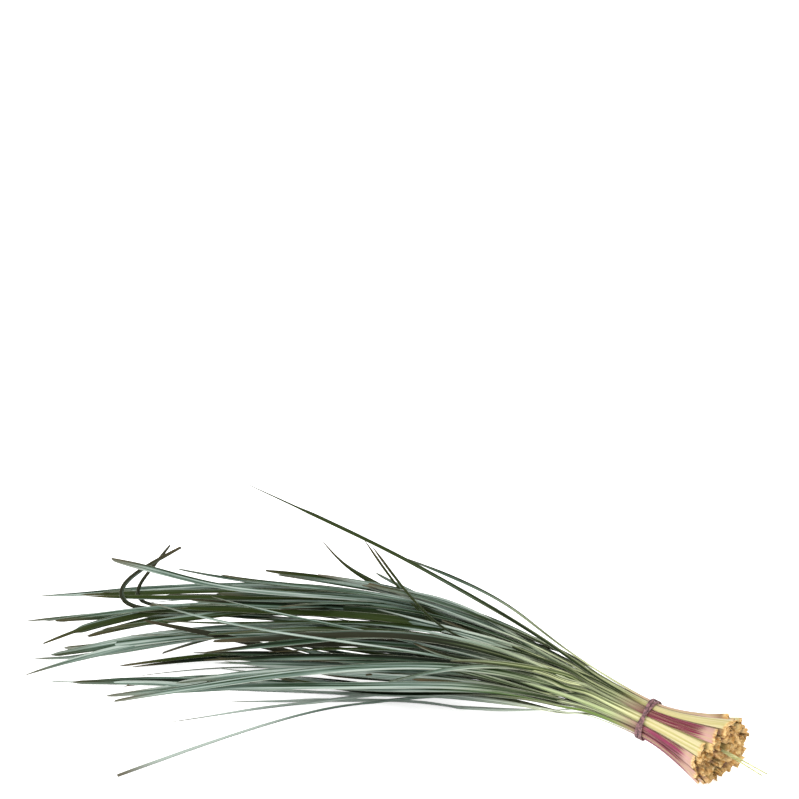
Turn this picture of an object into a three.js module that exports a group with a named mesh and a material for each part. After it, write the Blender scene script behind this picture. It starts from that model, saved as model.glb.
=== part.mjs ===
// A cut bunch of bear grass lying on a table, held near its cut ends by a doubled rubber band.
// Millimetres, +Z up. The cut ends point to +X, the leaf tips to -X, and the table is at z = 0.
// Each leaf is one solid, as it grew: a thick pale sheath at its base and a long keeled blade.
import * as THREE from 'three';

// ---- Driving sizes: millimetres, and degrees where named so ----
const CUT_LENGTH = 67;          // from the band to the cut ends, on average
const CUT_SLANT = 15;           // how much longer the bases are on the far upper side
const CUT_LONGEST = 45;         // the clock angle of that side, in degrees
const CUT_SPREAD = 3.5;         // how unevenly the bases are cut
const TIE_HEIGHT = 44;          // height of the bunch's centre at the band
const CUT_HEIGHT = 29.5;        // height of its centre at the cut ends
const CROWN_HEIGHT = 65;        // height of its centre where the blades arch highest
const CROWN_ALONG = 150;        // how far past the band that is
const TIP_HEIGHT = 18;          // height of its centre at the far tips
const DROOP_POWER = 1.5;        // above 1, the droop comes late
const FULL_LENGTH = 600;        // from the band to the longest tips
const OUTER_RING = 15.6;        // radius of the outermost ring of leaves, under the band
const RING_PITCH = 1.85;        // one ring of leaves to the next
const SHEATH_PITCH = 7.5;       // one leaf to the next around a ring
const NECK_CUT_SIDE = 38;       // how far from the band the cut end flares sideways
const NECK_CUT_UP = 36;         // and upwards and downwards
const NECK_BLADES = 69;         // and how far from the band the blades spread
const WIDEST = 95;              // half the spread of the blades across the table
const FACE_CLOCK = 115;         // the clock angle most blades turn their keeled face to
const FACE_SPREAD = 80;         // and how far from it they may end up
const MOST_TWIST = 130;         // degrees by which a blade may turn on its way there
const SHEATH_THICK = 1.3;       // a leaf's thickness under the band
const CUT_THICK = 2.2;          // and at its cut end
const BLADE_THICK = 0.75;       // and along the blade
const GAP = 0.4;                // clear distance between neighbours

// Plan of the bunch's centre line past the band: it leaves the band at a slant and straightens.
const PLAN = new THREE.CubicBezierCurve(
  new THREE.Vector2(0, 0),
  new THREE.Vector2(-140, 30),
  new THREE.Vector2(-330, 76),
  new THREE.Vector2(-600, -8),
);

// Stations of every leaf up to where it comes free of its neighbours, by distance past the band.
const BOUND_STATIONS = [-44, -25, -8, 8, 28, 50];
const BAND_STATION = BOUND_STATIONS.indexOf(-8) + 1;
const LEAD_STATIONS = [28, 50, 74];         // the free length takes its start direction from these
const FREE_STATIONS = 15;
const CURLED_STATIONS = 21;                 // a leaf with a curled tip needs more
const FIXED = BOUND_STATIONS.length + 1;    // stations that stay where the band holds them

// Leaves that stand out from the bunch. Each bend is [past the band, sideways, height]; clock is
// where the leaf sits under the band, in degrees from the far side, with 90 on top.
const STANDING_LEAVES = [
  { name: 'high_arching_leaf', clock: 85, half: 3.0, twist: 20,
    bends: [[86, 2, 87], [126, 5, 100], [164, 6, 113], [203, 6, 126], [244, 12, 138], [285, 21, 146],
      [350, 43, 156], [423, 78, 165]] },
  { name: 'thin_high_leaf', clock: 68, half: 2.1, twist: -60,
    bends: [[114, 15, 95], [150, 21, 109], [200, 24, 121], [256, 27, 131]] },
  { name: 'upswept_leaf_1', clock: 108, half: 2.2, twist: 40, tip: 'blunt',
    bends: [[120, -6, 77], [165, -8, 75], [192, -7, 81], [216, -3, 95], [246, 12, 112], [282, 38, 132]] },
  { name: 'upswept_leaf_2', clock: 124, half: 2.1, twist: 30, tip: 'blunt',
    bends: [[120, -9, 68], [174, -4, 69], [212, 0, 83], [248, 15, 100], [294, 48, 130]] },
  { name: 's_curved_leaf', clock: 94, half: 2.4, twist: -50,
    bends: [[150, 6, 84], [217, 14, 92], [247, 20, 98], [272, 26, 104], [293, 29, 109], [311, 32, 117],
      [328, 36, 134]] },
  { name: 'cut_tip_leaf_1', clock: 78, half: 2.9, twist: -30, tip: 'blunt',
    bends: [[127, 6, 91], [206, 9, 102], [274, 5, 108]] },
  { name: 'cut_tip_leaf_2', clock: 62, half: 2.8, twist: 40, tip: 'blunt',
    bends: [[120, 13, 85], [170, 15, 92], [249, 20, 97], [333, 9, 101], [375, 8, 101]] },
  { name: 'cut_tip_leaf_3', clock: 100, half: 2.6, twist: 25, tip: 'blunt',
    bends: [[127, 1, 85], [202, 1, 98], [256, 6, 104]] },
  { name: 'light_top_leaf', clock: 55, half: 3.3, twist: -100, tip: 'blunt',
    bends: [[168, 11, 88], [249, 18, 97], [372, -5, 88], [433, 0, 90], [475, 14, 93],
      [528, 30, 95]] },
  { name: 'far_tip_leaf_1', clock: 40, half: 2.5, twist: -80,
    bends: [[168, 16, 82], [249, 22, 95], [344, 20, 92], [421, 25, 78], [473, 37, 65],
      [525, 56, 48], [578, 79, 32], [618, 99, 20]] },
  { name: 'far_tip_leaf_2', clock: 28, half: 2.7, twist: -100,
    bends: [[170, 19, 78], [252, 27, 85], [340, 12, 80], [438, 17, 66], [500, 33, 54],
      [561, 55, 42]] },
  { name: 'far_tip_leaf_3', clock: 14, half: 2.5, twist: -120,
    bends: [[168, 14, 72], [249, 19, 74], [338, 8, 70], [438, 14, 56], [531, 39, 34],
      [582, 53, 22], [620, 63, 12]] },
  { name: 'folded_tip_leaf', clock: 48, half: 3.0, twist: -70, tip: 'blunt',
    bends: [[168, 13, 78], [248, 18, 83], [343, 19, 75], [441, 25, 59], [526, 19, 35],
      [564, 23, 20], [593, 14, 8]] },
  { name: 'drooping_leaf_1', clock: 150, half: 2.6, twist: -60,
    bends: [[168, -8, 61], [248, 14, 53], [341, 12, 50], [401, 15, 45], [475, 8, 28],
      [522, 1, 14], [567, -13, 6], [598, -35, 2]] },
  { name: 'drooping_leaf_2', clock: 170, half: 2.4, twist: 70,
    bends: [[168, -16, 50], [248, 14, 44], [343, 16, 43], [402, 17, 38], [475, 6, 26],
      [530, -4, 12], [568, -7, 5], [600, 2, 2]] },
  { name: 'resting_leaf_1', clock: 268, half: 2.5, twist: 0, rests: true,
    bends: [[171, 9, 26], [243, 7, 14], [320, -8, 4], [388, -26, 0.5], [475, -32, 0.5],
      [576, -37, 0.5]] },
  { name: 'resting_leaf_2', clock: 298, half: 2.7, twist: 90,
    bends: [[169, 16, 26], [244, 10, 21], [311, 8, 22], [392, 14, 17], [447, 7, 8], [503, -7, 2]] },
  { name: 'resting_leaf_3', clock: 284, half: 2.8, twist: 0, rests: true, tip: 'blunt',
    bends: [[171, 16, 23], [244, 11, 12], [320, -2, 5], [394, -13, 0.5], [444, -36, 0.5],
      [497, -63, 0.5]] },
  { name: 'resting_leaf_4', clock: 322, half: 2.6, twist: 0, rests: true, tip: 'blunt',
    bends: [[171, 24, 18], [244, 22, 6], [320, 12, 3], [394, 0, 0.5], [444, -16, 0.5],
      [500, -42, 0.5]] },
  { name: 'stray_leaf', clock: 308, half: 2.5, twist: 0, rests: true, tip: 'blunt',
    bends: [[110, 19, 33], [165, 23, 21], [229, 14, 12], [289, -24, 3], [324, -62, 0.5],
      [388, -136, 0.5], [453, -205, 0.5]] },
  { name: 'pale_low_leaf', clock: 274, half: 1.7, twist: 0, rests: true,
    bends: [[110, 7, 25], [165, 14, 9], [238, 6, 0.5], [311, -32, 0.5], [392, -52, 0.5]] },
  { name: 'near_low_leaf', clock: 252, half: 2.2, twist: 0, rests: true,
    bends: [[165, 4, 28], [228, 6, 17], [270, -3, 10], [334, -38, 0.5], [381, -72, 0.5],
      [437, -103, 0.5]] },
  { name: 'curled_leaf_1', clock: 6, half: 3.0, twist: -120, tip: 'blunt', curled: true,
    bends: [[178, 28.5, 62], [259, 44, 66], [352, 44, 61], [406, 38, 54], [450, 36, 47],
      [491, 32, 41], [516, 31, 44], [523, 36, 55], [515, 42, 68], [496, 50, 80], [464, 66, 96]] },
  { name: 'curled_leaf_2', clock: -10, half: 2.8, twist: -150, tip: 'blunt', curled: true,
    bends: [[173, 26, 55], [256, 37, 58], [350, 37, 54], [440, 44, 50], [484, 39, 44],
      [506, 35, 48], [508, 39, 58], [500, 46, 71], [488, 55, 85], [479, 66, 98]] },
];

// ---- Small helpers ----
const radians = THREE.MathUtils.degToRad;
const { clamp, lerp, smoothstep } = THREE.MathUtils;

// Repeatable random numbers from 0 to 1.
function makeRandom(seed) {
  let state = seed;
  return () => {
    state = (state + 0x6d2b79f5) | 0;
    let mixed = Math.imul(state ^ (state >>> 15), 1 | state);
    mixed = (mixed + Math.imul(mixed ^ (mixed >>> 7), 61 | mixed)) ^ mixed;
    return ((mixed ^ (mixed >>> 14)) >>> 0) / 4294967296;
  };
}
const random = makeRandom(58);
const between = (low, high) => lerp(low, high, random());

// ---- The bunch as a whole ----
const PLAN_LENGTH = PLAN.getLength();

// The bunch's own sideways direction at the band, towards its far side.
function sidewaysAtBand() {
  const { heading } = planAt(0);
  return new THREE.Vector3(heading.y, -heading.x, 0);
}

// The centre line's plan place and direction at a distance past the band.
function planAt(along) {
  const share = clamp(along / PLAN_LENGTH, 0, 1);
  const beyond = along - share * PLAN_LENGTH;
  const heading = PLAN.getTangentAt(share);
  return { place: PLAN.getPointAt(share).addScaledVector(heading, beyond), heading };
}

// A point given by its distance past the band, its offset to the far side and its height.
function bunchPoint(along, side, height) {
  const { place, heading } = planAt(along);
  return new THREE.Vector3(place.x + heading.y * side, place.y - heading.x * side, height);
}

// Height of the centre line: level with the table, then an arch, then a droop to the tips.
function centreHeight(along) {
  if (along < 0) return lerp(TIE_HEIGHT, CUT_HEIGHT, -along / CUT_LENGTH);
  if (along < CROWN_ALONG) {
    return lerp(TIE_HEIGHT, CROWN_HEIGHT, Math.sin((Math.PI / 2) * (along / CROWN_ALONG)));
  }
  const droop = Math.min((along - CROWN_ALONG) / (FULL_LENGTH - CROWN_ALONG), 1);
  return lerp(CROWN_HEIGHT, TIP_HEIGHT, droop ** DROOP_POWER);
}

// How much wider than at the band the bunch is.
function flare(along, neck) {
  return Math.hypot(1, along / neck);
}

// Where a leaf's place under the band is carried to at a distance along the bunch.
function flowPoint(place, along) {
  const side = place.radius * flare(along, along < 0 ? NECK_CUT_SIDE : NECK_BLADES);
  const up = place.radius * flare(along, along < 0 ? NECK_CUT_UP : NECK_BLADES);
  return bunchPoint(along, side * Math.cos(place.angle), centreHeight(along) + up * Math.sin(place.angle));
}

// ---- Where the leaves sit under the band: rings, each filled with as many as fit ----
const CORE_RADIUS = 0.1;        // where a leaf that has its ring to itself sits

function ringPlaces() {
  const places = [];
  for (let ring = 0; ring * RING_PITCH < OUTER_RING; ring++) {
    const ringRadius = OUTER_RING - ring * RING_PITCH;
    const count = Math.max(1, Math.floor((2 * Math.PI * ringRadius) / SHEATH_PITCH));
    const radius = count > 1 ? ringRadius : CORE_RADIUS;
    const start = between(0, 2 * Math.PI);
    for (let i = 0; i < count; i++) {
      places.push({ ring, radius, count, angle: start + (i / count) * 2 * Math.PI });
    }
  }
  return places;
}

// The turn, in radians, from a clock angle to a place, between half a turn back and half on.
function turnFrom(clock, place) {
  const turn = place.angle - radians(clock);
  return Math.atan2(Math.sin(turn), Math.cos(turn));
}

// Takes the free place nearest to a clock angle, the outer rings first.
const RING_COST = 0.35;         // a ring further in counts as this much turn, in radians

function takePlace(places, clock) {
  const turnTo = (place) => Math.abs(turnFrom(clock, place)) + place.ring * RING_COST;
  const best = places.reduce((a, b) => (turnTo(b) < turnTo(a) ? b : a));
  return places.splice(places.indexOf(best), 1)[0];
}

// ---- The paths of the leaves ----
const FREE_FROM = 50;           // where an ordinary leaf starts to bend on its own
const BEND_PITCH = 95;          // about how far apart its bends are
const LEAST_CLEARANCE = 2;      // lowest height of a leaf's path that does not rest

// Bends of an ordinary leaf: it keeps its side of the bunch and wanders a little towards the tip.
function ordinaryBends(place, length) {
  const startSide = (place.radius / OUTER_RING) * Math.cos(place.angle);
  const startUp = (place.radius / OUTER_RING) * Math.sin(place.angle);
  const endSide = clamp(startSide * 0.75 + between(-0.55, 0.5), -1, 1);
  const endUp = clamp(startUp * 0.7 + between(-0.5, 0.35), -1, 0.9);
  const bends = [];
  const count = Math.max(2, Math.round((length - FREE_FROM) / BEND_PITCH));
  for (let i = 1; i <= count; i++) {
    const along = lerp(FREE_FROM, length, i / count);
    const drift = smoothstep(along, FREE_FROM + 10, length);
    const halfWidth = Math.min(OUTER_RING * flare(along, NECK_BLADES), WIDEST);
    const halfHeight = Math.min(halfWidth, centreHeight(along) - LEAST_CLEARANCE);
    const wander = lerp(2, 6, drift);
    const side = lerp(startSide, endSide, drift) * halfWidth + between(-wander, wander);
    const up = lerp(startUp, endUp, drift) * halfHeight + between(-wander, wander) * 0.6;
    bends.push([along, side, Math.max(centreHeight(along) + up, LEAST_CLEARANCE)]);
  }
  return bends;
}

// Rounds off the bends of a leaf's free length.
const SOFTENING_PASSES = 4;

function soften(points) {
  for (let pass = 0; pass < SOFTENING_PASSES; pass++) {
    for (let i = FIXED; i < points.length - 1; i++) {
      const middle = points[i - 1].clone().add(points[i + 1]).multiplyScalar(0.5);
      points[i].lerp(middle, 0.5);
    }
  }
  return points;
}

// Stations of a leaf from its cut end to its tip.
function leafPath(leaf) {
  const stations = [-leaf.cut, ...BOUND_STATIONS].map((along) => flowPoint(leaf.place, along));
  const bends = leaf.bends.map((bend) => bunchPoint(...bend));
  const lead = LEAD_STATIONS.map((along) => flowPoint(leaf.place, along));
  const curve = new THREE.CatmullRomCurve3([...lead, ...bends], false, 'centripetal');
  const free = (lead.length - 1) / (lead.length + bends.length - 1);
  const count = leaf.curled ? CURLED_STATIONS : FREE_STATIONS;
  const end = lerp(free, 1, leaf.kept);
  for (let i = 0; i <= count; i++) stations.push(curve.getPoint(lerp(free, end, i / count)));
  return soften(stations);
}

// ---- The section of a leaf: two edges, with the keel outside and the fold inside between them ----
const ARC_FILLED = 0.43;        // half a sheath's width as a share of its place around the ring
const DEEPEST_KEEL = 1.6;       // how far a sheath can curve around the bunch
const BLADE_KEEL = 0.42;        // depth of a blade's keel as a share of half its width
const TIGHTEST_RADIUS = 0.8;    // of the curve of the innermost sheaths
const SHEATH_ENDS = 10;         // distance past the band where the sheath starts to thin
const BLADE_STARTS = 130;       // and where it has become the blade
const TIP_THINNING = 0.55;      // thickness a point would have, as a share of the blade's
const TIPS = {                  // share of the width lost, between two shares of the length
  blunt: { loss: 0.3, from: 0.88, to: 1 },
  fine: { loss: 0.84, from: 0.76, to: 1.02 },
};

// Half the width, thickness and keel depth at a station.
function sectionSize(leaf, along) {
  const { radius, count } = leaf.place;
  const arc = (2 * Math.PI * Math.max(radius, RING_PITCH / 2)) / count;
  const curve = Math.max(radius, TIGHTEST_RADIUS);
  const boundHalf = Math.min(ARC_FILLED * arc, Math.sqrt(DEEPEST_KEEL * curve));
  const boundKeel = Math.min(boundHalf ** 2 / curve, DEEPEST_KEEL);
  if (along < 0) {
    const grow = flare(along, NECK_CUT_UP);
    const thick = lerp(SHEATH_THICK, CUT_THICK, Math.min(-along / CUT_LENGTH, 1.1));
    return { half: boundHalf * grow, thick: thick * leaf.stout, keel: boundKeel * grow };
  }
  const freed = smoothstep(along, SHEATH_ENDS, BLADE_STARTS);
  const taper = TIPS[leaf.tip];
  const width = 1 - taper.loss * smoothstep(along / leaf.length, taper.from, taper.to);
  return {
    half: lerp(boundHalf, leaf.half, freed) * width,
    thick: lerp(SHEATH_THICK * leaf.stout, BLADE_THICK, freed) * lerp(TIP_THINNING, 1, width),
    keel: lerp(boundKeel, BLADE_KEEL * leaf.half, freed) * width,
  };
}

// Distance of every station past the band, measured along the leaf itself.
function distancesAlong(points) {
  const distances = [0];
  for (let i = 1; i < points.length; i++) {
    distances.push(distances[i - 1] + points[i].distanceTo(points[i - 1]));
  }
  return distances.map((distance) => distance - distances[BAND_STATION] + BOUND_STATIONS[BAND_STATION - 1]);
}

// Unit tangent at each station.
function tangentsOf(points) {
  return points.map((point, i) => {
    const before = points[Math.max(i - 1, 0)];
    const after = points[Math.min(i + 1, points.length - 1)];
    return after.clone().sub(before).normalize();
  });
}

// The direction around the ring of sheaths at a clock angle.
function ringTangent(angle) {
  const tangent = sidewaysAtBand().multiplyScalar(-Math.sin(angle));
  tangent.z = Math.cos(angle);
  return tangent;
}

// A direction made square to a tangent.
function square(direction, tangent) {
  return direction.clone().addScaledVector(tangent, -direction.dot(tangent)).normalize();
}

const UP = new THREE.Vector3(0, 0, 1);
const TWIST_FROM = 70;          // distance past the band where a blade starts to twist
const TWISTED_BY = 0.8;         // share of its length by which it has
const LIES_DOWN = [60, 180];    // distances between which a resting leaf turns flat to the table

// The level direction across a tangent.
function levelAcross(tangent) {
  return UP.clone().cross(tangent).normalize();
}

// The turn about a tangent, in radians, from one direction square to it to another.
function turnBetween(from, to, tangent) {
  return Math.atan2(from.clone().cross(to).dot(tangent), from.dot(to));
}

// The across and outward directions at each station, carried along the leaf without spinning
// from the ring's tangent under the band, then turned by the leaf's own twist.
function framesOf(leaf) {
  const tangents = tangentsOf(leaf.points);
  const start = ringTangent(leaf.place.angle);
  const across = [];
  across[BAND_STATION] = square(start, tangents[BAND_STATION]);
  for (let i = BAND_STATION - 1; i >= 0; i--) across[i] = square(across[i + 1], tangents[i]);
  for (let i = BAND_STATION + 1; i < tangents.length; i++) across[i] = square(across[i - 1], tangents[i]);
  const facing = levelAcross(tangents[FIXED]).dot(across[FIXED]) < 0 ? -1 : 1;
  return tangents.map((tangent, i) => {
    const level = levelAcross(tangent).multiplyScalar(facing);
    const turn = leaf.rests
      ? turnBetween(across[i], level, tangent) * smoothstep(leaf.along[i], ...LIES_DOWN)
      : radians(leaf.twist) * smoothstep(leaf.along[i], TWIST_FROM, leaf.length * TWISTED_BY);
    const side = across[i].applyAxisAngle(tangent, turn);
    return { tangent, side, outward: tangent.clone().cross(side) };
  });
}

// Offsets of the four corners of the section from the leaf's path.
function sectionCorners(leaf, i) {
  const { half, thick, keel } = sectionSize(leaf, leaf.along[i]);
  const { side, outward } = leaf.frames[i];
  const corner = (across, out) => side.clone().multiplyScalar(across).addScaledVector(outward, out);
  return [
    corner(half, -keel / 2),
    corner(0, (keel + thick) / 2),
    corner(-half, -keel / 2),
    corner(0, (keel - thick) / 2),
  ];
}

// Brings a leaf's frames and section corners up to date with its path.
function measure(leaf) {
  leaf.frames = framesOf(leaf);
  leaf.corners = leaf.points.map((point, i) => sectionCorners(leaf, i));
}

// ---- Making room: leaves that touch are eased apart along their free length ----
const PASSES = 400;
const MEASURE_EVERY = 20;       // passes between two measurements of the sections
const EASING = [0.35, 0.02];    // how strongly each line is evened out, at first and at the end
const WIDEST_LEAF = 7.5;        // paths further apart than this never touch
const FAR_APART = new THREE.Vector3(75, 60, 45);    // stations this far apart need no closer look
const TABLE_GAP = 0.02;         // left under a leaf that hangs just over the table
const LYING_HEIGHT = 0.5;       // of the path of a leaf that lies flat on the table
const SETTLING = 0.03;          // how far a resting leaf sinks in one pass
const LEAST_LEVER = 0.2;        // keeps a station next to a held one from being thrown far by a touch

// How far a leaf's section reaches in a direction, between two stations.
function reach(leaf, i, share, direction, sign) {
  let near = -Infinity;
  let far = -Infinity;
  for (let k = 0; k < 4; k++) {
    near = Math.max(near, sign * leaf.corners[i][k].dot(direction));
    far = Math.max(far, sign * leaf.corners[i + 1][k].dot(direction));
  }
  return lerp(near, far, share);
}

// Shares along two segments at which they come closest.
function closestShares(a0, a1, b0, b1) {
  const a = a1.clone().sub(a0);
  const b = b1.clone().sub(b0);
  const gap = a0.clone().sub(b0);
  const aa = a.dot(a);
  const bb = b.dot(b);
  const ab = a.dot(b);
  const cross = aa * bb - ab * ab;
  const parallel = cross <= 1e-6 * aa * bb;
  const guess = parallel ? 0.5 : clamp((ab * b.dot(gap) - bb * a.dot(gap)) / cross, 0, 1);
  const onSecond = clamp((ab * guess + b.dot(gap)) / bb, 0, 1);
  const onFirst = clamp((ab * onSecond - a.dot(gap)) / aa, 0, 1);
  return [onFirst, onSecond];
}

// Moves a leaf's free stations so that the point at a share of its segment shifts by a distance.
function nudge(leaf, i, share, direction, distance) {
  const before = i >= FIXED ? 1 - share : 0;
  const after = i + 1 >= FIXED ? share : 0;
  const lever = Math.max(before ** 2 + after ** 2, LEAST_LEVER);
  leaf.points[i].addScaledVector(direction, (distance * before) / lever);
  leaf.points[i + 1].addScaledVector(direction, (distance * after) / lever);
}

// Pushes two leaves apart along one segment of each, if their sections come closer than the gap.
function separateSegments(first, i, second, j) {
  const [a0, a1] = [first.points[i], first.points[i + 1]];
  const [b0, b1] = [second.points[j], second.points[j + 1]];
  const [onFirst, onSecond] = closestShares(a0, a1, b0, b1);
  const apart = a0.clone().lerp(a1, onFirst).sub(b0.clone().lerp(b1, onSecond));
  const distance = apart.length();
  if (distance > WIDEST_LEAF) return;
  if (distance < 1e-3) apart.copy(UP);
  apart.normalize();
  const need = reach(first, i, onFirst, apart, -1) + reach(second, j, onSecond, apart, 1) + GAP;
  if (distance >= need) return;
  nudge(first, i, onFirst, apart, (need - distance) / 2);
  nudge(second, j, onSecond, apart, (distance - need) / 2);
}

// Pushes two leaves apart wherever they come too close.
function separate(first, second) {
  for (let i = FIXED - 2; i < first.points.length - 1; i++) {
    for (let j = FIXED - 2; j < second.points.length - 1; j++) {
      const [a, b] = [first.points[i], second.points[j]];
      const farApart = Math.abs(a.x - b.x) > FAR_APART.x || Math.abs(a.y - b.y) > FAR_APART.y
        || Math.abs(a.z - b.z) > FAR_APART.z;
      if (!farApart) separateSegments(first, i, second, j);
    }
  }
}

// Evens out how far each station has been pushed, so that the leaf keeps its smooth line.
function easeLine(leaf, amount) {
  const pushed = leaf.points.map((point, i) => point.clone().sub(leaf.rest[i]));
  for (let i = FIXED; i < leaf.points.length; i++) {
    const after = pushed[Math.min(i + 1, pushed.length - 1)];
    const even = pushed[i - 1].clone().add(after).multiplyScalar(0.5);
    leaf.points[i].addScaledVector(even.sub(pushed[i]), amount);
  }
}

// Keeps every free station on or above the table, and lets a leaf that rests sink onto it.
function keepAboveTable(leaf) {
  for (let i = FIXED; i < leaf.points.length; i++) {
    const reachDown = -Math.min(...leaf.corners[i].map((corner) => corner.z));
    const lowest = leaf.rests ? LYING_HEIGHT : reachDown + TABLE_GAP;
    const sunk = leaf.rests ? leaf.points[i].z - SETTLING : leaf.points[i].z;
    leaf.points[i].z = Math.max(sunk, lowest);
  }
}

// Eases all the leaves apart, with their lines kept smooth and above the table.
function makeRoom(leaves) {
  for (let pass = 0; pass < PASSES; pass++) {
    if (pass % MEASURE_EVERY === 0) leaves.forEach(measure);
    leaves.forEach((first, n) => leaves.slice(n + 1).forEach((second) => separate(first, second)));
    const easing = lerp(...EASING, smoothstep(pass / PASSES, 0.3, 0.9));
    for (const leaf of leaves) {
      easeLine(leaf, easing);
      keepAboveTable(leaf);
    }
  }
}

// ---- Solids ----
const LYING_BELOW = 1.2;        // a resting leaf's path lower than this means it lies flat

// A closed solid swept through rings of corners; without a tip it closes on its first ring.
// The diagonals run the same way on both faces of a thin section, so a twist can't cross them.
function sweptSolid(rings, tip) {
  const size = rings[0].length;
  const positions = rings.flat().concat(tip ? [tip] : []).flatMap((point) => point.toArray());
  const index = [];
  const joins = tip ? rings.length - 1 : rings.length;
  for (let i = 0; i < joins; i++) {
    const next = (i + 1) % rings.length;
    for (let k = 0; k < size; k++) {
      const after = (k + 1) % size;
      const [a, b, c, d] = [i * size + k, i * size + after, next * size + after, next * size + k];
      index.push(...(k < size / 2 ? [a, b, c, a, c, d] : [a, b, d, b, c, d]));
    }
  }
  if (tip) {
    const last = (rings.length - 1) * size;
    const apex = rings.length * size;
    for (let k = 0; k < size; k++) index.push(last + k, last + ((k + 1) % size), apex);
    index.push(0, 3, 1, 1, 3, 2);
  }
  const geometry = new THREE.BufferGeometry();
  geometry.setAttribute('position', new THREE.Float32BufferAttribute(positions, 3));
  geometry.setIndex(index);
  geometry.computeVertexNormals();
  return geometry;
}

// Slants the cut face of a leaf across its width.
function slantCut(corners, leaf) {
  const { side, tangent } = leaf.frames[0];
  for (const corner of corners) {
    corner.addScaledVector(tangent, leaf.slant * corner.clone().sub(leaf.points[0]).dot(side));
  }
}

// Lays a section flat on the table, with only its raised middle above the edges.
function layFlat(corners, thick) {
  const [right, keel, left, fold] = corners;
  const [under, over] = keel.z < fold.z ? [keel, fold] : [fold, keel];
  over.z = thick;
  for (const low of [left, right, under]) low.z = 0;
}

// Corners of a leaf at each station, none of them below the table.
function leafRings(leaf) {
  return leaf.points.slice(0, -1).map((point, i) => {
    const corners = leaf.corners[i].map((corner) => corner.clone().add(point));
    const lies = leaf.rests && i >= FIXED && point.z < LYING_BELOW;
    if (i === 0) slantCut(corners, leaf);
    if (lies) layFlat(corners, sectionSize(leaf, leaf.along[i]).thick);
    for (const corner of corners) corner.z = Math.max(corner.z, 0);
    return corners;
  });
}

function mesh(name, geometry, colour, roughness) {
  const material = new THREE.MeshStandardMaterial({ color: colour, roughness, metalness: 0 });
  const made = new THREE.Mesh(geometry, material);
  made.name = name;
  return made;
}

// ---- The leaves ----
const CUT_FACE_SLANT = 0.35;    // steepest slant of one leaf's own cut face, as a slope
const STOUTNESS = [0.85, 1.05]; // spread of the sheaths' thickness

function makeLeaf(name, place, details) {
  const longer = CUT_SLANT * (place.radius / OUTER_RING) * Math.cos(turnFrom(CUT_LONGEST, place));
  const leaf = {
    name,
    place,
    cut: CUT_LENGTH + longer + between(-CUT_SPREAD, CUT_SPREAD),
    slant: between(-CUT_FACE_SLANT, CUT_FACE_SLANT),
    stout: between(...STOUTNESS),
    tip: 'fine',
    rests: false,
    curled: false,
    kept: 1,
    ...details,
  };
  leaf.points = leafPath(leaf);
  leaf.along = distancesAlong(leaf.points);
  leaf.length = leaf.along[leaf.along.length - 1];
  leaf.rest = leaf.points.map((point) => point.clone());
  return leaf;
}

// The leaves that stand out, each in its own place under the band.
function standingLeaves(places) {
  return STANDING_LEAVES.map(({ name, clock, ...details }) => (
    makeLeaf(name, takePlace(places, clock), details)
  ));
}

const LAYERS = ['outer', 'middle', 'inner'];
const RINGS_IN_LAYER = 3;
const SHORT_SHARE = 0.2;        // of the ordinary leaves that are cut short
const SHORT_LENGTH = [300, 420];
const USUAL_LENGTH = [450, FULL_LENGTH];
const HALF_WIDTH = [2.1, 3.1];
const NEAR_SIDE = [125, 330];   // clock angles, in degrees, between which the leaves were cut back
const NEAR_KEPT = [0.6, 0.84];  // share of its free length that such a leaf keeps
const cutBack = makeRandom(21);

// The share of its free length that a leaf keeps at its place.
function keptShare(place) {
  const clock = THREE.MathUtils.euclideanModulo(THREE.MathUtils.radToDeg(place.angle), 360);
  return clock > NEAR_SIDE[0] && clock < NEAR_SIDE[1] ? lerp(...NEAR_KEPT, cutBack()) : 1;
}

// The leaves that fill the remaining places, named by layer.
function ordinaryLeaves(places) {
  const counts = LAYERS.map(() => 0);
  return places.map((place) => {
    const layer = Math.min(Math.floor(place.ring / RINGS_IN_LAYER), LAYERS.length - 1);
    counts[layer] += 1;
    const name = `${LAYERS[layer]}_leaf_${String(counts[layer]).padStart(2, '0')}`;
    const short = random() < SHORT_SHARE;
    const length = between(...(short ? SHORT_LENGTH : USUAL_LENGTH));
    const faceClock = between(FACE_CLOCK - FACE_SPREAD, FACE_CLOCK + FACE_SPREAD);
    const bends = ordinaryBends(place, length);
    const fullTwist = THREE.MathUtils.radToDeg(turnFrom(faceClock, place));
    const twist = clamp(fullTwist, -MOST_TWIST, MOST_TWIST);
    const tip = short ? 'blunt' : 'fine';
    const kept = short ? 1 : keptShare(place);
    return makeLeaf(name, place, { bends, half: between(...HALF_WIDTH), twist, tip, kept });
  });
}

const LEAF_GREENS = ['#5b7a6a', '#6d8a7c', '#49695a', '#3f5a3a', '#7f9a90'];

function leafMeshes(places) {
  const leaves = [...standingLeaves(places), ...ordinaryLeaves(places)];
  makeRoom(leaves);
  leaves.forEach(measure);
  return leaves.map((leaf, i) => {
    const solid = sweptSolid(leafRings(leaf), leaf.points[leaf.points.length - 1]);
    return mesh(leaf.name, solid, LEAF_GREENS[i % LEAF_GREENS.length], 0.55);
  });
}

// ---- The rubber band: one closed loop wound twice, its two turns crossing once ----
const BAND_INSIDE = 17.1;       // inner radius
const BAND_WIDTH = 3;
const BAND_THICK = 1.1;
const BAND_OFFSET = 1.9;        // each turn's distance from the middle, away from the crossing
const BAND_CROSSING = 138;      // clock angle of the crossing, in degrees
const CROSSING_SLANT = 3;       // how fast the turns change sides there
const CROSSING_LENGTH = 0.95;   // how much of the loop is lifted over the other turn, in radians
const BAND_STATIONS = 112;

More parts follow.
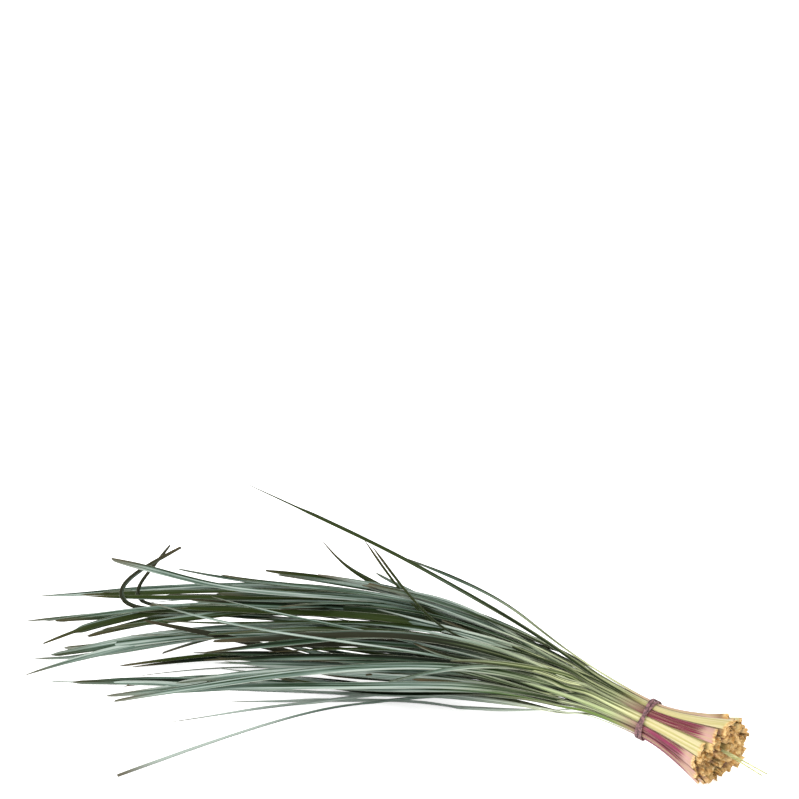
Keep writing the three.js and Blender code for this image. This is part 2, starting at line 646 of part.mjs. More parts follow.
function rubberBand() {
  const before = bunchPoint(-8, 0, centreHeight(-8));
  const after = bunchPoint(8, 0, centreHeight(8));
  const centre = before.clone().lerp(after, 0.5);
  const axis = after.sub(before).normalize();
  const sideways = sidewaysAtBand();
  const upward = sideways.clone().cross(axis);
  const rings = [];
  for (let i = 0; i < BAND_STATIONS; i++) {
    const turn = (i / BAND_STATIONS) * 4 * Math.PI;
    const angle = turn + Math.PI + radians(BAND_CROSSING);
    const lift = (BAND_THICK + GAP) * Math.exp(-(((turn - Math.PI) / CROSSING_LENGTH) ** 4));
    const shift = BAND_OFFSET * Math.tanh(CROSSING_SLANT * Math.cos(turn / 2));
    const radial = sideways.clone().multiplyScalar(Math.cos(angle)).addScaledVector(upward, Math.sin(angle));
    const corner = (out, along) => centre.clone().addScaledVector(radial, BAND_INSIDE + lift + out)
      .addScaledVector(axis, shift + along);
    const edge = BAND_WIDTH / 2;
    rings.push([corner(0, -edge), corner(BAND_THICK, -edge), corner(BAND_THICK, edge), corner(0, edge)]);
  }
  return mesh('rubber_band', sweptSolid(rings), '#7a5560', 0.7);
}

// ---- The loose strip of sheath that sticks out from among the innermost leaves ----
const STRIP_HALF = 1.0;         // half its width
const STRIP_THICK = 0.5;
const STRIP_TAPER = 0.06;       // share of the width lost at each station
const STRIP_TUCKED = [-48, -58, -68];
const STRIP_BENDS = [[-86, 5, 26], [-105, 3, 20]];

function looseStrip(innerPlace) {
  const place = { radius: RING_PITCH * 1.5, angle: innerPlace.angle + Math.PI / 2 };
  const tucked = STRIP_TUCKED.map((along) => flowPoint(place, along));
  const out = STRIP_BENDS.map((bend) => bunchPoint(...bend));
  const points = new THREE.CatmullRomCurve3([...tucked, ...out]).getSpacedPoints(10);
  const tangents = tangentsOf(points);
  const around = ringTangent(place.angle);
  const rings = points.slice(0, -1).map((point, i) => {
    const across = square(around, tangents[i]);
    const outward = tangents[i].clone().cross(across);
    const half = STRIP_HALF * (1 - STRIP_TAPER * i);
    const corner = (side, out) => point.clone().addScaledVector(across, side).addScaledVector(outward, out);
    return [corner(half, 0), corner(0, STRIP_THICK / 2), corner(-half, 0), corner(0, -STRIP_THICK / 2)];
  });
  return mesh('loose_sheath_strip', sweptSolid(rings, points[points.length - 1]), '#c9cf7a', 0.6);
}

// ---- The whole bunch, standing on z = 0 with its middle over the origin ----
const places = ringPlaces();
const innerPlace = places.find((place) => place.count === 2);
const bunch = new THREE.Group();
bunch.add(...leafMeshes(places), rubberBand(), looseStrip(innerPlace));
const box = new THREE.Box3().setFromObject(bunch);
bunch.position.set(-(box.min.x + box.max.x) / 2, -(box.min.y + box.max.y) / 2, -box.min.z);

export default bunch;
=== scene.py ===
"""A cut bunch of bear grass lying on a pale table: its leaves are held near their cut ends by a doubled
rubber band. Metres, +Z up. The cut ends point to +X and the leaf tips to -X."""
import zlib

import bmesh
import bpy
import numpy as np
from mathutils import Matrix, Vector


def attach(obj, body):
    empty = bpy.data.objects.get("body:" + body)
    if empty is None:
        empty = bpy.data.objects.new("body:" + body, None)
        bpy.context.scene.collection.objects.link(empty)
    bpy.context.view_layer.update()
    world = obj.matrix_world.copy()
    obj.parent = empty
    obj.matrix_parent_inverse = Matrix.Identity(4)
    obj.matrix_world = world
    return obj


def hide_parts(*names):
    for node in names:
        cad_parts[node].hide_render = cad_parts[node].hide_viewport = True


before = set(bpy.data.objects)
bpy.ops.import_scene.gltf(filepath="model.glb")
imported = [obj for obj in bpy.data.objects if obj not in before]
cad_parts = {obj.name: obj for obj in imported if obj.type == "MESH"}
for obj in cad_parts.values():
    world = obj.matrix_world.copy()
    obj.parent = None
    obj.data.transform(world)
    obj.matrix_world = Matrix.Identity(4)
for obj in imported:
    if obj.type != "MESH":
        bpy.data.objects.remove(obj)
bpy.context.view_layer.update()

# ---- The lines of the leaves ----
# A bear grass leaf grows as one piece: a thick pale sheath at its base, clasping its neighbours, and
# a long tough blade with a keel behind and a fold in front. Its line is the one it has in the frame.


def joined_corners(name):
    """A node's corners with the coinciding ones joined, and the two ends of each side of its faces."""
    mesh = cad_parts[name].data
    loose = np.empty(len(mesh.vertices) * 3)
    mesh.vertices.foreach_get("co", loose)
    used = np.empty(len(mesh.loops), int)
    mesh.loops.foreach_get("vertex_index", used)
    corners, index = np.unique(loose.reshape(-1, 3)[used].round(6), axis=0, return_inverse=True)
    triangles = index.reshape(-1, 3)
    return corners, triangles.ravel(), np.roll(triangles, -1, axis=1).ravel()


def sections_of(name):
    """The right edge, keel, left edge and fold at each section of a node, from its cut end to its tip.

    The tip is the corner with four sides whose shortest side is longest. Each section is the four
    corners one side further from it. The right edge has the most sides leading on, the left edge the
    fewest, and (right - left) x (keel - fold) points to the tip."""
    corners, start, end = joined_corners(name)
    length = np.linalg.norm(corners[start] - corners[end], axis=1)
    shortest = np.full(len(corners), np.inf)
    np.minimum.at(shortest, start, length)
    tip = np.where(np.bincount(start) == 4, shortest, 0).argmax()
    steps = np.full(len(corners), -1)
    steps[tip] = 0
    while (steps < 0).any():
        last = steps.max()
        steps[end[(steps[start] == last) & (steps[end] < 0)]] = last + 1
    leading = np.bincount(start, steps[start] - steps[end])
    order = np.lexsort((leading, steps))[1:]
    left, one, other, right = corners[order].reshape(-1, 4, 3)[::-1].transpose(1, 0, 2)
    onward = np.gradient((left + right) / 2, axis=0)
    is_keel = (np.cross(right - left, one - other) * onward).sum(1, keepdims=True) > 0
    keel, fold = np.where(is_keel, one, other), np.where(is_keel, other, one)
    sections = np.stack([right, keel, left, fold], axis=1)
    return np.concatenate([sections, np.broadcast_to(corners[tip], (1, 4, 3))])


def along_line(middles):
    """Distance of each point of a line from its first."""
    return np.concatenate([[0], np.cumsum(np.linalg.norm(np.diff(middles, axis=0), axis=1))])


def smooth_between(values, places, wanted):
    """Values at the wanted places, on cubics whose slope at each given place is that of its neighbours."""
    slopes = np.gradient(values, places, axis=0)
    before = np.clip(np.searchsorted(places, wanted, "right") - 1, 0, len(places) - 2)
    shape = (-1,) + (1,) * (values.ndim - 1)
    span = (places[before + 1] - places[before]).reshape(shape)
    t = (wanted - places[before]).reshape(shape) / span
    start, end = values[before], values[before + 1]
    rise = start * (1 + 2 * t) * (1 - t) ** 2 + end * t**2 * (3 - 2 * t)
    return rise + span * (slopes[before] * t * (1 - t) ** 2 - slopes[before + 1] * t**2 * (1 - t))


def smoothstep(value, low, high):
    """0 below low, 1 above high, and 3t^2 - 2t^3 between."""
    t = np.clip((value - low) / (high - low), 0, 1)
    return t * t * (3 - 2 * t)


def unit(vectors):
    """Vectors divided by their lengths."""
    return vectors / np.linalg.norm(vectors, axis=-1, keepdims=True)


band_corners = joined_corners("rubber_band")[0]
BAND_CENTRE = (band_corners.min(0) + band_corners.max(0)) / 2
ONWARD = np.linalg.svd(band_corners - band_corners.mean(0))[2][2]  # through the band, to the tips
ONWARD *= -np.sign(ONWARD[0])
FAR_SIDE = unit(np.cross(ONWARD, (0, 0, 1)))
UPWARD = np.cross(FAR_SIDE, ONWARD)
BOUND_BY = 0.04  # distance through the band within which every leaf runs straight through it
OUTER_RADIUS = 0.0135  # a sheath farther than this from the middle of the band is an outer one
IN_VIEW = (80, 250)  # clock angles of the places under the band that show from the near side
CRUMPLE, INNER_CRUMPLE = 0.0002, 0.0007  # depth of the creases in an outer and in an inner cut end
GATHERED = 0.8  # how far a cut end that is not in view has curled up
BLUNT = {"cut_tip_1", "cut_tip_2", "cut_tip_3", "light_top", "folded_tip", "resting_3", "resting_4",
         "stray", "curled_1", "curled_2"}


class Leaf:
    """A leaf's sections, their distances past the band, and where it sits under the band."""

    def __init__(self, name, sections, blunt=False, slim=1):
        self.name, self.sections, self.slim = name, sections, slim
        self.short = name.replace("_leaf", "")  # as in the tables
        self.blunt = blunt or self.short in BLUNT
        self.random = np.random.default_rng(zlib.crc32(name.encode()))
        middles = sections.mean(1)
        places = along_line(middles)
        through = (middles - BAND_CENTRE) @ ONWARD
        bound = slice(0, np.argmax(through > BOUND_BY) + 1)
        self.past = places - np.interp(0, through[bound], places[bound])
        under = [np.interp(0, through[bound], middles[bound, axis]) for axis in range(3)]
        place = np.array(under) - BAND_CENTRE
        self.clock = np.degrees(np.arctan2(place @ UPWARD, place @ FAR_SIDE)) % 360
        self.radius = np.linalg.norm(place)
        self.outer = self.radius > OUTER_RADIUS and "thin" not in name
        self.crumple = CRUMPLE if self.outer else INNER_CRUMPLE
        self.gather = 0 if self.outer and IN_VIEW[0] < self.clock < IN_VIEW[1] else GATHERED

    def at(self, past):
        """The leaf's sections at distances past the band; its tip stands in for any beyond it."""
        return smooth_between(self.sections, self.past, np.minimum(past, self.past[-1]))

    def line(self, past):
        """Points of the leaf's line at distances past the band; beyond its tip it runs on straight."""
        beyond = np.maximum(past - self.past[-1], 0)[:, None]
        return self.at(past).mean(1) + beyond * unit(self.sections[-1, 0] - self.sections[-3].mean(0))


SLIM_NECK = 0.7  # a stout leaf's width past the band, as a share of the room that it has in the frame
leaves = [Leaf(name, sections_of(name), slim=SLIM_NECK)
          for name in sorted(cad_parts) if "leaf" in name]
by_name = {leaf.short: leaf for leaf in leaves}

# ---- The thinner leaves in between ----
# A bunch holds about a hundred leaves. The thinner ones are clasped at their base inside the sheath
# of a stout leaf, come free of it past the band, and fill the bunch between it and a neighbour.
CLASPED_THICK = 0.0003
CLASP_GAP = 0.00012
CLASPED_WIDTH = 0.62  # as a share of the stout leaf's
FREE_FROM, FREE_BY = 0.045, 0.13  # distances past the band where a thin leaf comes free
OWN_WAY_BY, OWN_TURN_BY = 0.22, 0.24  # and where it has reached its own way and its own facing
CURLED_BY, CURLED_WITHIN = 0.006, 0.004  # its base curls up from before the band to near the cut
SHORTER_BY = (0.0005, 0.003)  # than its host at the cut, by chance between these
THIN_KEEL = 0.4  # depth of its keel as a share of half its width
THIN_THICK = 0.0005
TAPER, TAPER_LENGTH, TAPER_BEYOND = 0.7, 0.08, 0.02  # width lost at the tip, and over what length
THIN_STEP = 0.008
SWAY = np.array([0.02, 0.007])  # most that a thin leaf bends aside and up halfway along
DRIFT_POWER = 2.5  # the higher, the nearer to the tip a leaf drifts off


def thin_path(host, neighbour, share, length, drift, random):
    """Points from the base of a thin leaf to its tip, one step apart, and their distances past the band.

    Path = host + share * (neighbour - host) * (0 to 1 as it comes free) + drift * (share of length)^2.5
    + sway * sin(pi * share of length) * (share of length)."""
    past = np.arange(host.past[0] + random.uniform(*SHORTER_BY), length, THIN_STEP)
    line = host.line(past)
    other = neighbour.line(np.maximum(past, neighbour.past[0]))
    free = smoothstep(past, FREE_FROM, OWN_WAY_BY)[:, None]
    level = unit(np.cross(np.gradient(line, axis=0), (0, 0, 1)))
    reached = np.clip((past - FREE_FROM) / (length - FREE_FROM), 0, 1)[:, None]
    line = line + share * free * (other - line)
    sway = np.sin(np.pi * reached) * random.uniform(-1, 1, 2) * SWAY
    drifted = reached**DRIFT_POWER * np.array(drift) + sway * reached
    return line + drifted[:, :1] * level + drifted[:, 1:] * np.array([0, 0, 1]), past


CLEAR = 0.0017  # least distance between two leaves' lines, where they can be eased apart
EASED_FROM, EASED_TO = 0.05, 0.66  # distances past the band between which they are
PUSH_FROM, PUSH_BY = 0.06, 0.15  # and between which the moves grow to their full size
EASING_PASSES, EVENING_PASSES = 24, 2
PUSH = 0.3  # share of the lacking distance that one pass makes up
LEAST_HEIGHT = 0.0022  # of an eased line above the table


def eased_apart(lines, pasts, held):
    """Eases thin leaves away from all others that they pass at about the same distance past the band.

    Each pass moves a point by push * (clear distance - distance) away from every point too near it,
    with the moves evened out along the leaf, growing from none where the leaf comes free."""
    grid = np.arange(EASED_FROM, EASED_TO, THIN_STEP)
    apart = [np.array([np.interp(grid, past, line[:, axis], right=np.nan) for axis in range(3)]).T
             for line, past in zip(lines, pasts)]
    fixed = [np.where(grid[:, None] < leaf.past[-1], leaf.at(grid).mean(1), np.nan) for leaf in held]
    moving, fixed = np.array(apart), np.array(fixed)
    start = moving.copy()
    freed = smoothstep(grid, PUSH_FROM, PUSH_BY)[None, :, None]
    own = np.eye(len(moving), len(moving) + len(fixed), dtype=bool)[:, :, None]
    for _ in range(EASING_PASSES):
        everyone = np.concatenate([moving, fixed])
        push = np.zeros_like(moving)
        for shift in range(-2, 3):
            gap = moving[:, None] - np.roll(everyone, shift, axis=1)[None]
            distance = np.linalg.norm(gap, axis=-1)
            near = (distance < CLEAR) & (distance > 1e-7) & ~own
            weight = np.where(near, (CLEAR - distance) / np.where(near, distance, 1), 0)
            push += np.nansum(np.nan_to_num(gap) * weight[..., None], axis=1)
        moved = np.nan_to_num(moving + PUSH * push - start)
        for _ in range(EVENING_PASSES):
            padded = np.pad(moved, ((0, 0), (1, 1), (0, 0)), mode="edge")
            moved = (padded[:, :-2] + 2 * moved + padded[:, 2:]) / 4
        moving = start + moved * freed
        moving[..., 2] = np.maximum(moving[..., 2], LEAST_HEIGHT)
    shifted = []
    for line, past, eased, begun in zip(lines, pasts, moving, start):
        known = ~np.isnan(begun[:, 0])
        change = [np.interp(past, grid[known], (eased - begun)[known, axis], left=0) for axis in range(3)]
        shifted.append(line + np.array(change).T)
    return shifted


CUT_ROOM = 0.0052  # between the middles of two cut ends
CUT_RADIUS = 0.029
CUT_INWARD, CUT_SCATTER = 0.87, 0.0012  # share of its host's distance from the middle, and chance moves
CUT_WITHIN = 0.88  # most of that share that a cut end can reach
CUT_PASSES, CUT_PUSH = 60, 0.25


def room_in_the_cut(hosts, random):
    """How far each thin leaf's cut end moves from its host's, to fill the room between all the ends.

    Each starts a little inward of its host; each pass moves it by a quarter of (room - distance) away
    from every end that is nearer than the room it needs, and holds it inside its host's end."""
    def spot(leaf):
        place = leaf.sections[0].mean(0) - BAND_CENTRE
        return np.array([place @ FAR_SIDE, place @ UPWARD])

    fixed = np.array([spot(leaf) for leaf in leaves])
    start = np.array([spot(host) for host in hosts])
    moving = start * CUT_INWARD + random.normal(0, CUT_SCATTER, start.shape)
    own = np.eye(len(moving), len(moving) + len(fixed), dtype=bool)
    for _ in range(CUT_PASSES):
        gap = moving[:, None] - np.concatenate([moving, fixed])[None]
        distance = np.linalg.norm(gap, axis=-1) + 1e-9
        weight = np.where((distance < CUT_ROOM) & ~own, (CUT_ROOM - distance) / distance, 0)
        moving = moving + CUT_PUSH * (gap * weight[..., None]).sum(1)
        farthest = np.minimum(CUT_RADIUS, CUT_WITHIN * np.linalg.norm(start, axis=1))
        moving *= np.minimum(1, farthest / np.linalg.norm(moving, axis=1))[:, None]
    moved = moving - start
    return moved[:, :1] * FAR_SIDE + moved[:, 1:] * UPWARD


CURL_TURN = 1.2  # most that a curled base is turned aside, in radians
CURL_LEAST, CURL_MOST = (0.0017, 0.001, 0.0007), (0.003, 0.0024, 0.0011)  # half width, bow, thickness


def curl(host, past, random):
    """The corners of a curled, crumpled base about its own middle: a crescent turned aside at random.

    A corner is +-half width * side - bow / 2 * outward, or bow / 2 (+ thickness) * outward."""
    right, keel, left, fold = host.at(past).transpose(1, 0, 2)
    side, outward = unit(right - left + 1e-9), unit(keel - fold + 1e-9)
    angle = random.uniform(-CURL_TURN, CURL_TURN)
    side, outward = (np.cos(angle) * side + np.sin(angle) * outward,
                     np.cos(angle) * outward - np.sin(angle) * side)
    half, bow, thick = random.uniform(CURL_LEAST, CURL_MOST)
    return np.stack([half * side - bow / 2 * outward, (bow / 2 + thick) * outward,
                     -half * side - bow / 2 * outward, bow / 2 * outward], axis=1)


def clock_way(tangent, angle):
    """Directions across a line at a clock angle: cos(angle) * level + sin(angle) * up."""
    level = unit(np.cross(tangent, (0, 0, 1)))
    return np.cos(angle) * level + np.sin(angle) * np.array([0, 0, 1])


TWIST = 2  # most that a thin blade turns along its length, in radians a metre


def thin_sections(host, line, past, half, facing, moved, random):
    """Sections of a thin leaf: curled at the cut, clasped inside its host's sheath, then its own blade.

    A clasped corner is the host's fold side moved inward; a free one is the line plus across * half
    width, with the keel outward, after the blade has turned its keel to its own facing."""
    right, keel, left, fold = host.at(past).transpose(1, 0, 2)
    inward = unit(fold - keel + 1e-9)
    middle = (right + left) / 2
    bow = (1 - CLASPED_WIDTH**2) * (fold - middle) + inward * CLASP_GAP
    clasped = np.stack([middle + CLASPED_WIDTH * (right - middle) + bow, fold + inward * CLASP_GAP,
                        middle + CLASPED_WIDTH * (left - middle) + bow,
                        fold + inward * (CLASP_GAP + CLASPED_THICK)], axis=1)
    clasped -= host.at(past).mean(1)[:, None]
    tangent = unit(np.gradient(line, axis=0))
    host_side = unit(right - left + 1e-9)
    start = np.argmin(np.abs(past - FREE_FROM))
    host_side[start:] = host_side[start]
    facing = facing + random.uniform(-TWIST, TWIST) * (past - FREE_BY)
    own_side = np.cross(clock_way(tangent, facing[:, None]), tangent)
    own_side *= np.sign(own_side[start] @ host_side[start])
    share = smoothstep(past, FREE_FROM, OWN_TURN_BY)[:, None]
    side = (1 - share) * host_side + share * own_side
    side = unit(side - (side * tangent).sum(1, keepdims=True) * tangent)
    outward = np.cross(tangent, side)
    taper = 1 - TAPER * smoothstep(past, past[-1] - TAPER_LENGTH, past[-1] + TAPER_BEYOND)
    half = (half * taper)[:, None]
    keel, thick = THIN_KEEL * half, THIN_THICK
    free = np.stack([half * side - keel / 2 * outward, (keel + thick) / 2 * outward,
                     -half * side - keel / 2 * outward, (keel - thick) / 2 * outward], axis=1)
    share = smoothstep(past, FREE_FROM, FREE_BY)[:, None, None]
    loose = smoothstep(past, -CURLED_BY, past[0] + CURLED_WITHIN)[:, None, None]
    return (line[:, None] + loose * moved + (1 - share) * (1 - loose) * clasped + share * free
            + loose * curl(host, past, random))


# Thin leaves with a place of their own: host, neighbour, share of the way to it, length past the band,
# drift at the tip sideways and up, half width, clock angle that the keel faces, and a blunt tip or not.
OWN_PLACES = [
    ("cut_tip_1", "cut_tip_2", 0.6, 0.335, (0, 0), 0.0026, 150, True),
    ("cut_tip_2", "far_tip_1", 0.3, 0.375, (0, 0.001), 0.0024, 140, True),
    ("cut_tip_3", "light_top", 0.5, 0.285, (0, 0.004), 0.0024, 150, True),
    ("light_top", "far_tip_1", 0.3, 0.475, (0, 0.01), 0.002, 150, False),
    ("light_top", "cut_tip_2", 0.3, 0.425, (0, 0.005), 0.002, 150, False),
    ("far_tip_1", "light_top", 0.5, 0.44, (0, -0.01), 0.0028, 150, False),
    ("far_tip_2", "far_tip_1", 0.5, 0.6, (0, 0), 0.0024, 150, False),
    ("far_tip_2", "middle_03", 0.5, 0.53, (0, -0.006), 0.0032, 160, True),
    ("far_tip_3", "middle_03", 0.5, 0.5, (0, 0.006), 0.0032, 150, False),
    ("middle_03", "far_tip_2", 0.7, 0.47, (0, -0.016), 0.0034, 140, True),
    ("s_curved", "cut_tip_1", 0.9, 0.295, (0, -0.004), 0.0026, 130, True),
    ("middle_15", "outer_08", 0.5, 0.4, (0, 0.062), 0.0011, 140, False),
    ("outer_08", "middle_15", 0.3, 0.455, (0, 0.06), 0.0011, 120, False),
    ("resting_3", "outer_02", 0.4, 0.49, (0, 0.06), 0.003, 160, False),
    ("middle_12", "outer_08", 0.5, 0.375, (0, 0.002), 0.0036, 150, True),
    ("outer_07", "middle_12", 0.5, 0.4, (0, 0.006), 0.0034, 155, True),
    ("drooping_2", "far_tip_3", 0.4, 0.47, (0.02, -0.012), 0.0028, 100, False),
    ("folded_tip", "drooping_1", 0.5, 0.49, (0, -0.03), 0.0028, 120, True),
    ("resting_2", "drooping_2", 0.3, 0.52, (0, -0.004), 0.0022, 115, False),
    ("resting_4", "resting_2", 0.4, 0.5, (0, -0.002), 0.0024, 100, True),
    ("outer_08", "middle_05", 0.3, 0.475, (-0.06, -0.01), 0.0032, 150, True),
    ("outer_04", "outer_09", 0.5, 0.465, (-0.085, -0.004), 0.003, 150, False),
    ("outer_08", "outer_04", 0.6, 0.43, (-0.035, -0.008), 0.0032, 145, False),
    ("drooping_2", "drooping_1", 0.5, 0.595, (0, 0.008), 0.0033, 145, False),
    ("drooping_2", "far_tip_3", 0.2, 0.585, (0, 0.002), 0.0031, 150, False),
    ("folded_tip", "middle_03", 0.5, 0.565, (0, -0.016), 0.0034, 155, True),
    ("far_tip_3", "middle_03", 0.3, 0.605, (0, -0.002), 0.0028, 150, False),
    ("resting_1", "resting_4", 0.4, 0.555, (0, 0.003), 0.0028, 130, False),
    ("far_tip_1", "far_tip_2", 0.4, 0.575, (0, 0.002), 0.0028, 150, False),
]
# The others follow any host by chance, but for the ones that lie apart, with all sizes between these.
FILLERS = 44
APART = ("resting", "stray", "low_leaf", "high", "curled")
SHORTEST_HOST = 0.32
NEXT_TO = (8, 75)  # clock angles between a host and a neighbour
DRIFTS = (0.045, 0.012)  # most, sideways and up
SHARES, LENGTH_SHARES, HALF_WIDTHS = (0.3, 0.75), (0.45, 0.97), (0.0019, 0.0032)
FACING, FACING_SPREAD = 135, 65
BLUNT_CHANCE = 0.3

hosts = [leaf for leaf in leaves
         if leaf.past[-1] > SHORTEST_HOST and not any(word in leaf.name for word in APART)]
thin = np.random.default_rng(7)
plans = [(by_name[host], by_name[neighbour], *rest) for host, neighbour, *rest in OWN_PLACES]
for host in np.resize(thin.permutation(len(hosts)), FILLERS):
    host = hosts[host]
    apart = [abs((leaf.clock - host.clock + 180) % 360 - 180) for leaf in hosts]
    close = [leaf for leaf, angle in zip(hosts, apart) if NEXT_TO[0] < angle < NEXT_TO[1]]
    neighbour = close[thin.integers(len(close))]
    longest = min(host.past[-1], neighbour.past[-1])
    drift = tuple(thin.uniform(-most, most) for most in DRIFTS)
    share, length = thin.uniform(*SHARES), longest * thin.uniform(*LENGTH_SHARES)
    half, facing = thin.uniform(*HALF_WIDTHS), FACING + thin.uniform(-FACING_SPREAD, FACING_SPREAD)
    plans.append((host, neighbour, share, length, drift, half, facing, thin.random() < BLUNT_CHANCE))

paths = [thin_path(*plan[:5], thin) for plan in plans]
lines = eased_apart([line for line, _ in paths], [past for _, past in paths], leaves)
moves = room_in_the_cut([plan[0] for plan in plans], thin)
for number, (plan, line, (_, past), moved) in enumerate(zip(plans, lines, paths, moves)):
    sections = thin_sections(plan[0], line, past, plan[5], np.radians(plan[6]), moved, thin)
    leaves.append(Leaf(f"thin_leaf_{number + 1:02d}", sections, plan[7]))

# ---- The leaf's body ----
# Each leaf is a closed skin around its own line. It is cut straight through the sheath at its base;
# its tip either runs out to a point or was cut or torn off blunt.
AROUND = 18  # points around a leaf
angles = 2 * np.pi * np.arange(AROUND) / AROUND
ACROSS = np.cos(angles)  # 1 at the right edge, -1 at the left edge
OUTSIDE = (np.sin(angles) > -1e-9).astype(float)
STEP = 0.0042  # along the blade, from one row of points to the next
CUT_STEP, CUT_STRETCH = 0.0015, 0.012  # the step near the cut end, and for how far
RIM = [(0.12, 0.0012), (0.5, 0.0007), (0.86, 0.0001)]  # share of thickness, and depth below the rim
RIM_NARROWING = 0.06
EDGE_CURL, KEEL_BOW = 0.42, 0.45  # of a gathered end, as shares of half its width
TIP_CUT = 0.8  # share of the way from the last section to the tip that is left of a leaf


def gentle_noise(places, wavelength, random):
    """Smooth random values of about -1 to 1: a line through random heights set one wavelength apart."""
    knots = random.uniform(-1, 1, int(places.max() / wavelength) + 4)
    spot = np.clip(places, 0, None) / wavelength
    whole = spot.astype(int)
    share = smoothstep(spot - whole, 0, 1)
    return knots[whole] * (1 - share) + knots[whole + 1] * share


def outline(sections, power):
    """Points around each section: across from edge to edge, bowed out to the keel and back by the fold.

    A point is middle + across * half width + (1 - |across|^power) * (keel or fold - middle)."""
    right, keel, left, fold = sections.transpose(1, 0, 2)[:, :, None]
    middle = (right + left) / 2
    bow = (1 - np.abs(ACROSS) ** power[:, None])[..., None]
    out = np.where(OUTSIDE[:, None] > 0, keel, fold) - middle
    return middle + ACROSS[:, None] * (right - left) / 2 + bow * out


def thinned(section, share, forward):
    """A section shrunk to a share of its thickness about its middle surface, and moved forward.

    A corner is middle + (corner - middle) * share, its edges a little narrower than before."""
    right, keel, left, fold = section
    core, middle = (keel + fold) / 2, (right + left) / 2
    narrow = 1 - RIM_NARROWING + RIM_NARROWING * share
    corners = [middle + (right - middle) * narrow, core + (keel - core) * share,
               middle + (left - middle) * narrow, core + (fold - core) * share]
    return np.array(corners) + forward


def gathered(sections, amount):
    """Sections curled up: each edge moves in by 0.42 * amount of its half width, and the keel and fold
    bow out by 0.45 * amount of it, about the same middle."""
    right, keel, left, fold = sections.transpose(1, 0, 2)
    amount = amount[:, None]
    reach = amount * (right - left) / 2
    bow = unit(keel - fold + 1e-9) * np.linalg.norm(reach, axis=1, keepdims=True) * KEEL_BOW
    return np.stack([right - EDGE_CURL * reach - bow / 2, keel + bow / 2,
                     left + EDGE_CURL * reach - bow / 2, fold + bow / 2], axis=1)


def rows_wanted(length):
    """Distances from the cut end of a leaf's rows: close together at the cut, wider along the blade."""
    near = np.arange(0, CUT_STRETCH, CUT_STEP)
    count = int((length - CUT_STRETCH) / STEP)
    return np.concatenate([near, np.linspace(CUT_STRETCH, length, count)])


def blunted(sections, width, random):
    """A leaf's sections with the tip cut off aslant: its last one is a share of the one before it, as
    wide as the given share, four fifths of the way to the tip."""
    before, tip = sections[-2], sections[-1].mean(0)
    middle = (before[0] + before[2]) / 2
    end = middle + TIP_CUT * (tip - middle) + (before - middle) * width * random.uniform(0.8, 1.2)
    end[0] += random.uniform(-0.2, 0.2) * (tip - middle)
    return np.concatenate([sections[:-1], end[None]])


BLUNT_TIP, FINE_TIP = 0.65, 0.28  # width of a cut and of a grown tip, as a share of the one before
# How wide some blades are beside the room that they have in the frame.
BLADE_WIDTHS = {"high_arching": 1.25, "thin_high": 0.8, "cut_tip_2": 0.7, "light_top": 0.68,
                "curled_1": 0.45, "curled_2": 0.45, "folded_tip": 0.8, "far_tip_2": 0.8, "drooping_1": 1.1,
                "stray": 0.65, "near_low": 0.75, "resting_1": 0.9, "resting_3": 0.8, "upswept_1": 0.5,
                "upswept_2": 0.5, "drooping_2": 1.15, "pale_low": 1.25}
# Where some blades narrow: from and to distances past the band, and the share of the width lost.
NARROWED = {"folded_tip": (0.572, 0.582, 0.55), "high_arching": (0.355, 0.385, 0.45)}
# The clock angles that some keels face, where a blade shows its broad side to the near side.
FACINGS = {"far_tip_1": 140, "far_tip_2": 150, "far_tip_3": 150, "drooping_1": 150, "drooping_2": 140,
           "thin_high": 150, "resting_2": 140, "folded_tip": 155, "s_curved": 150, "light_top": 140,
           "resting_1": 125, "resting_3": 125, "resting_4": 125, "stray": 125, "near_low": 125,
           "pale_low": 125, "upswept_1": 140, "upswept_2": 140}
TURNS_FROM, TURNS_BY = 0.05, 0.2  # distances past the band between which they turn to it
# How much shorter than in the frame some leaves are, at their cut ends.
CUT_BACK = {"light_top": 0.01, "cut_tip_2": 0.011, "thin_high": 0.012, "cut_tip_1": 0.005,
            "far_tip_1": 0.007, "far_tip_3": 0.003}


def turned(sections, past, facing):
    """Sections turned about their own line, more and more past the band, until their keels face a clock
    angle: turn = (angle from keel to facing, without jumps) * (0 to 1 with the distance past the band)."""
    middle = sections.mean(1)
    tangent = unit(np.gradient(middle, axis=0))
    outward = unit(sections[:, 1] - sections[:, 3])
    aim = clock_way(tangent, facing)
    to_side = (aim * np.cross(tangent, outward)).sum(1)
    angle = np.unwrap(np.arctan2(to_side, (aim * outward).sum(1)))
    angle *= smoothstep(past, TURNS_FROM, TURNS_BY)
    angle, axis = angle[:, None, None], tangent[:, None]
    offset = sections - middle[:, None]
    onward = (offset * axis).sum(-1, keepdims=True) * axis
    swung = np.cos(angle) * (offset - onward) + np.sin(angle) * np.cross(axis, offset)
    return middle[:, None] + onward + swung


WAVER, WAVELENGTH = 0.05, 0.03  # of a blade's width along it
FAR_GAIN = 0.45  # width gained by the blades that run on farthest
# Distances past the band from and to which a blade's width changes; for the fullest, shares of its whole.
NECK, FULLER, FULLEST, OWN, FAR = (0, 0.06), (0.08, 0.3), (0.6, 0.92), (0.05, 0.15), (0.43, 0.55)


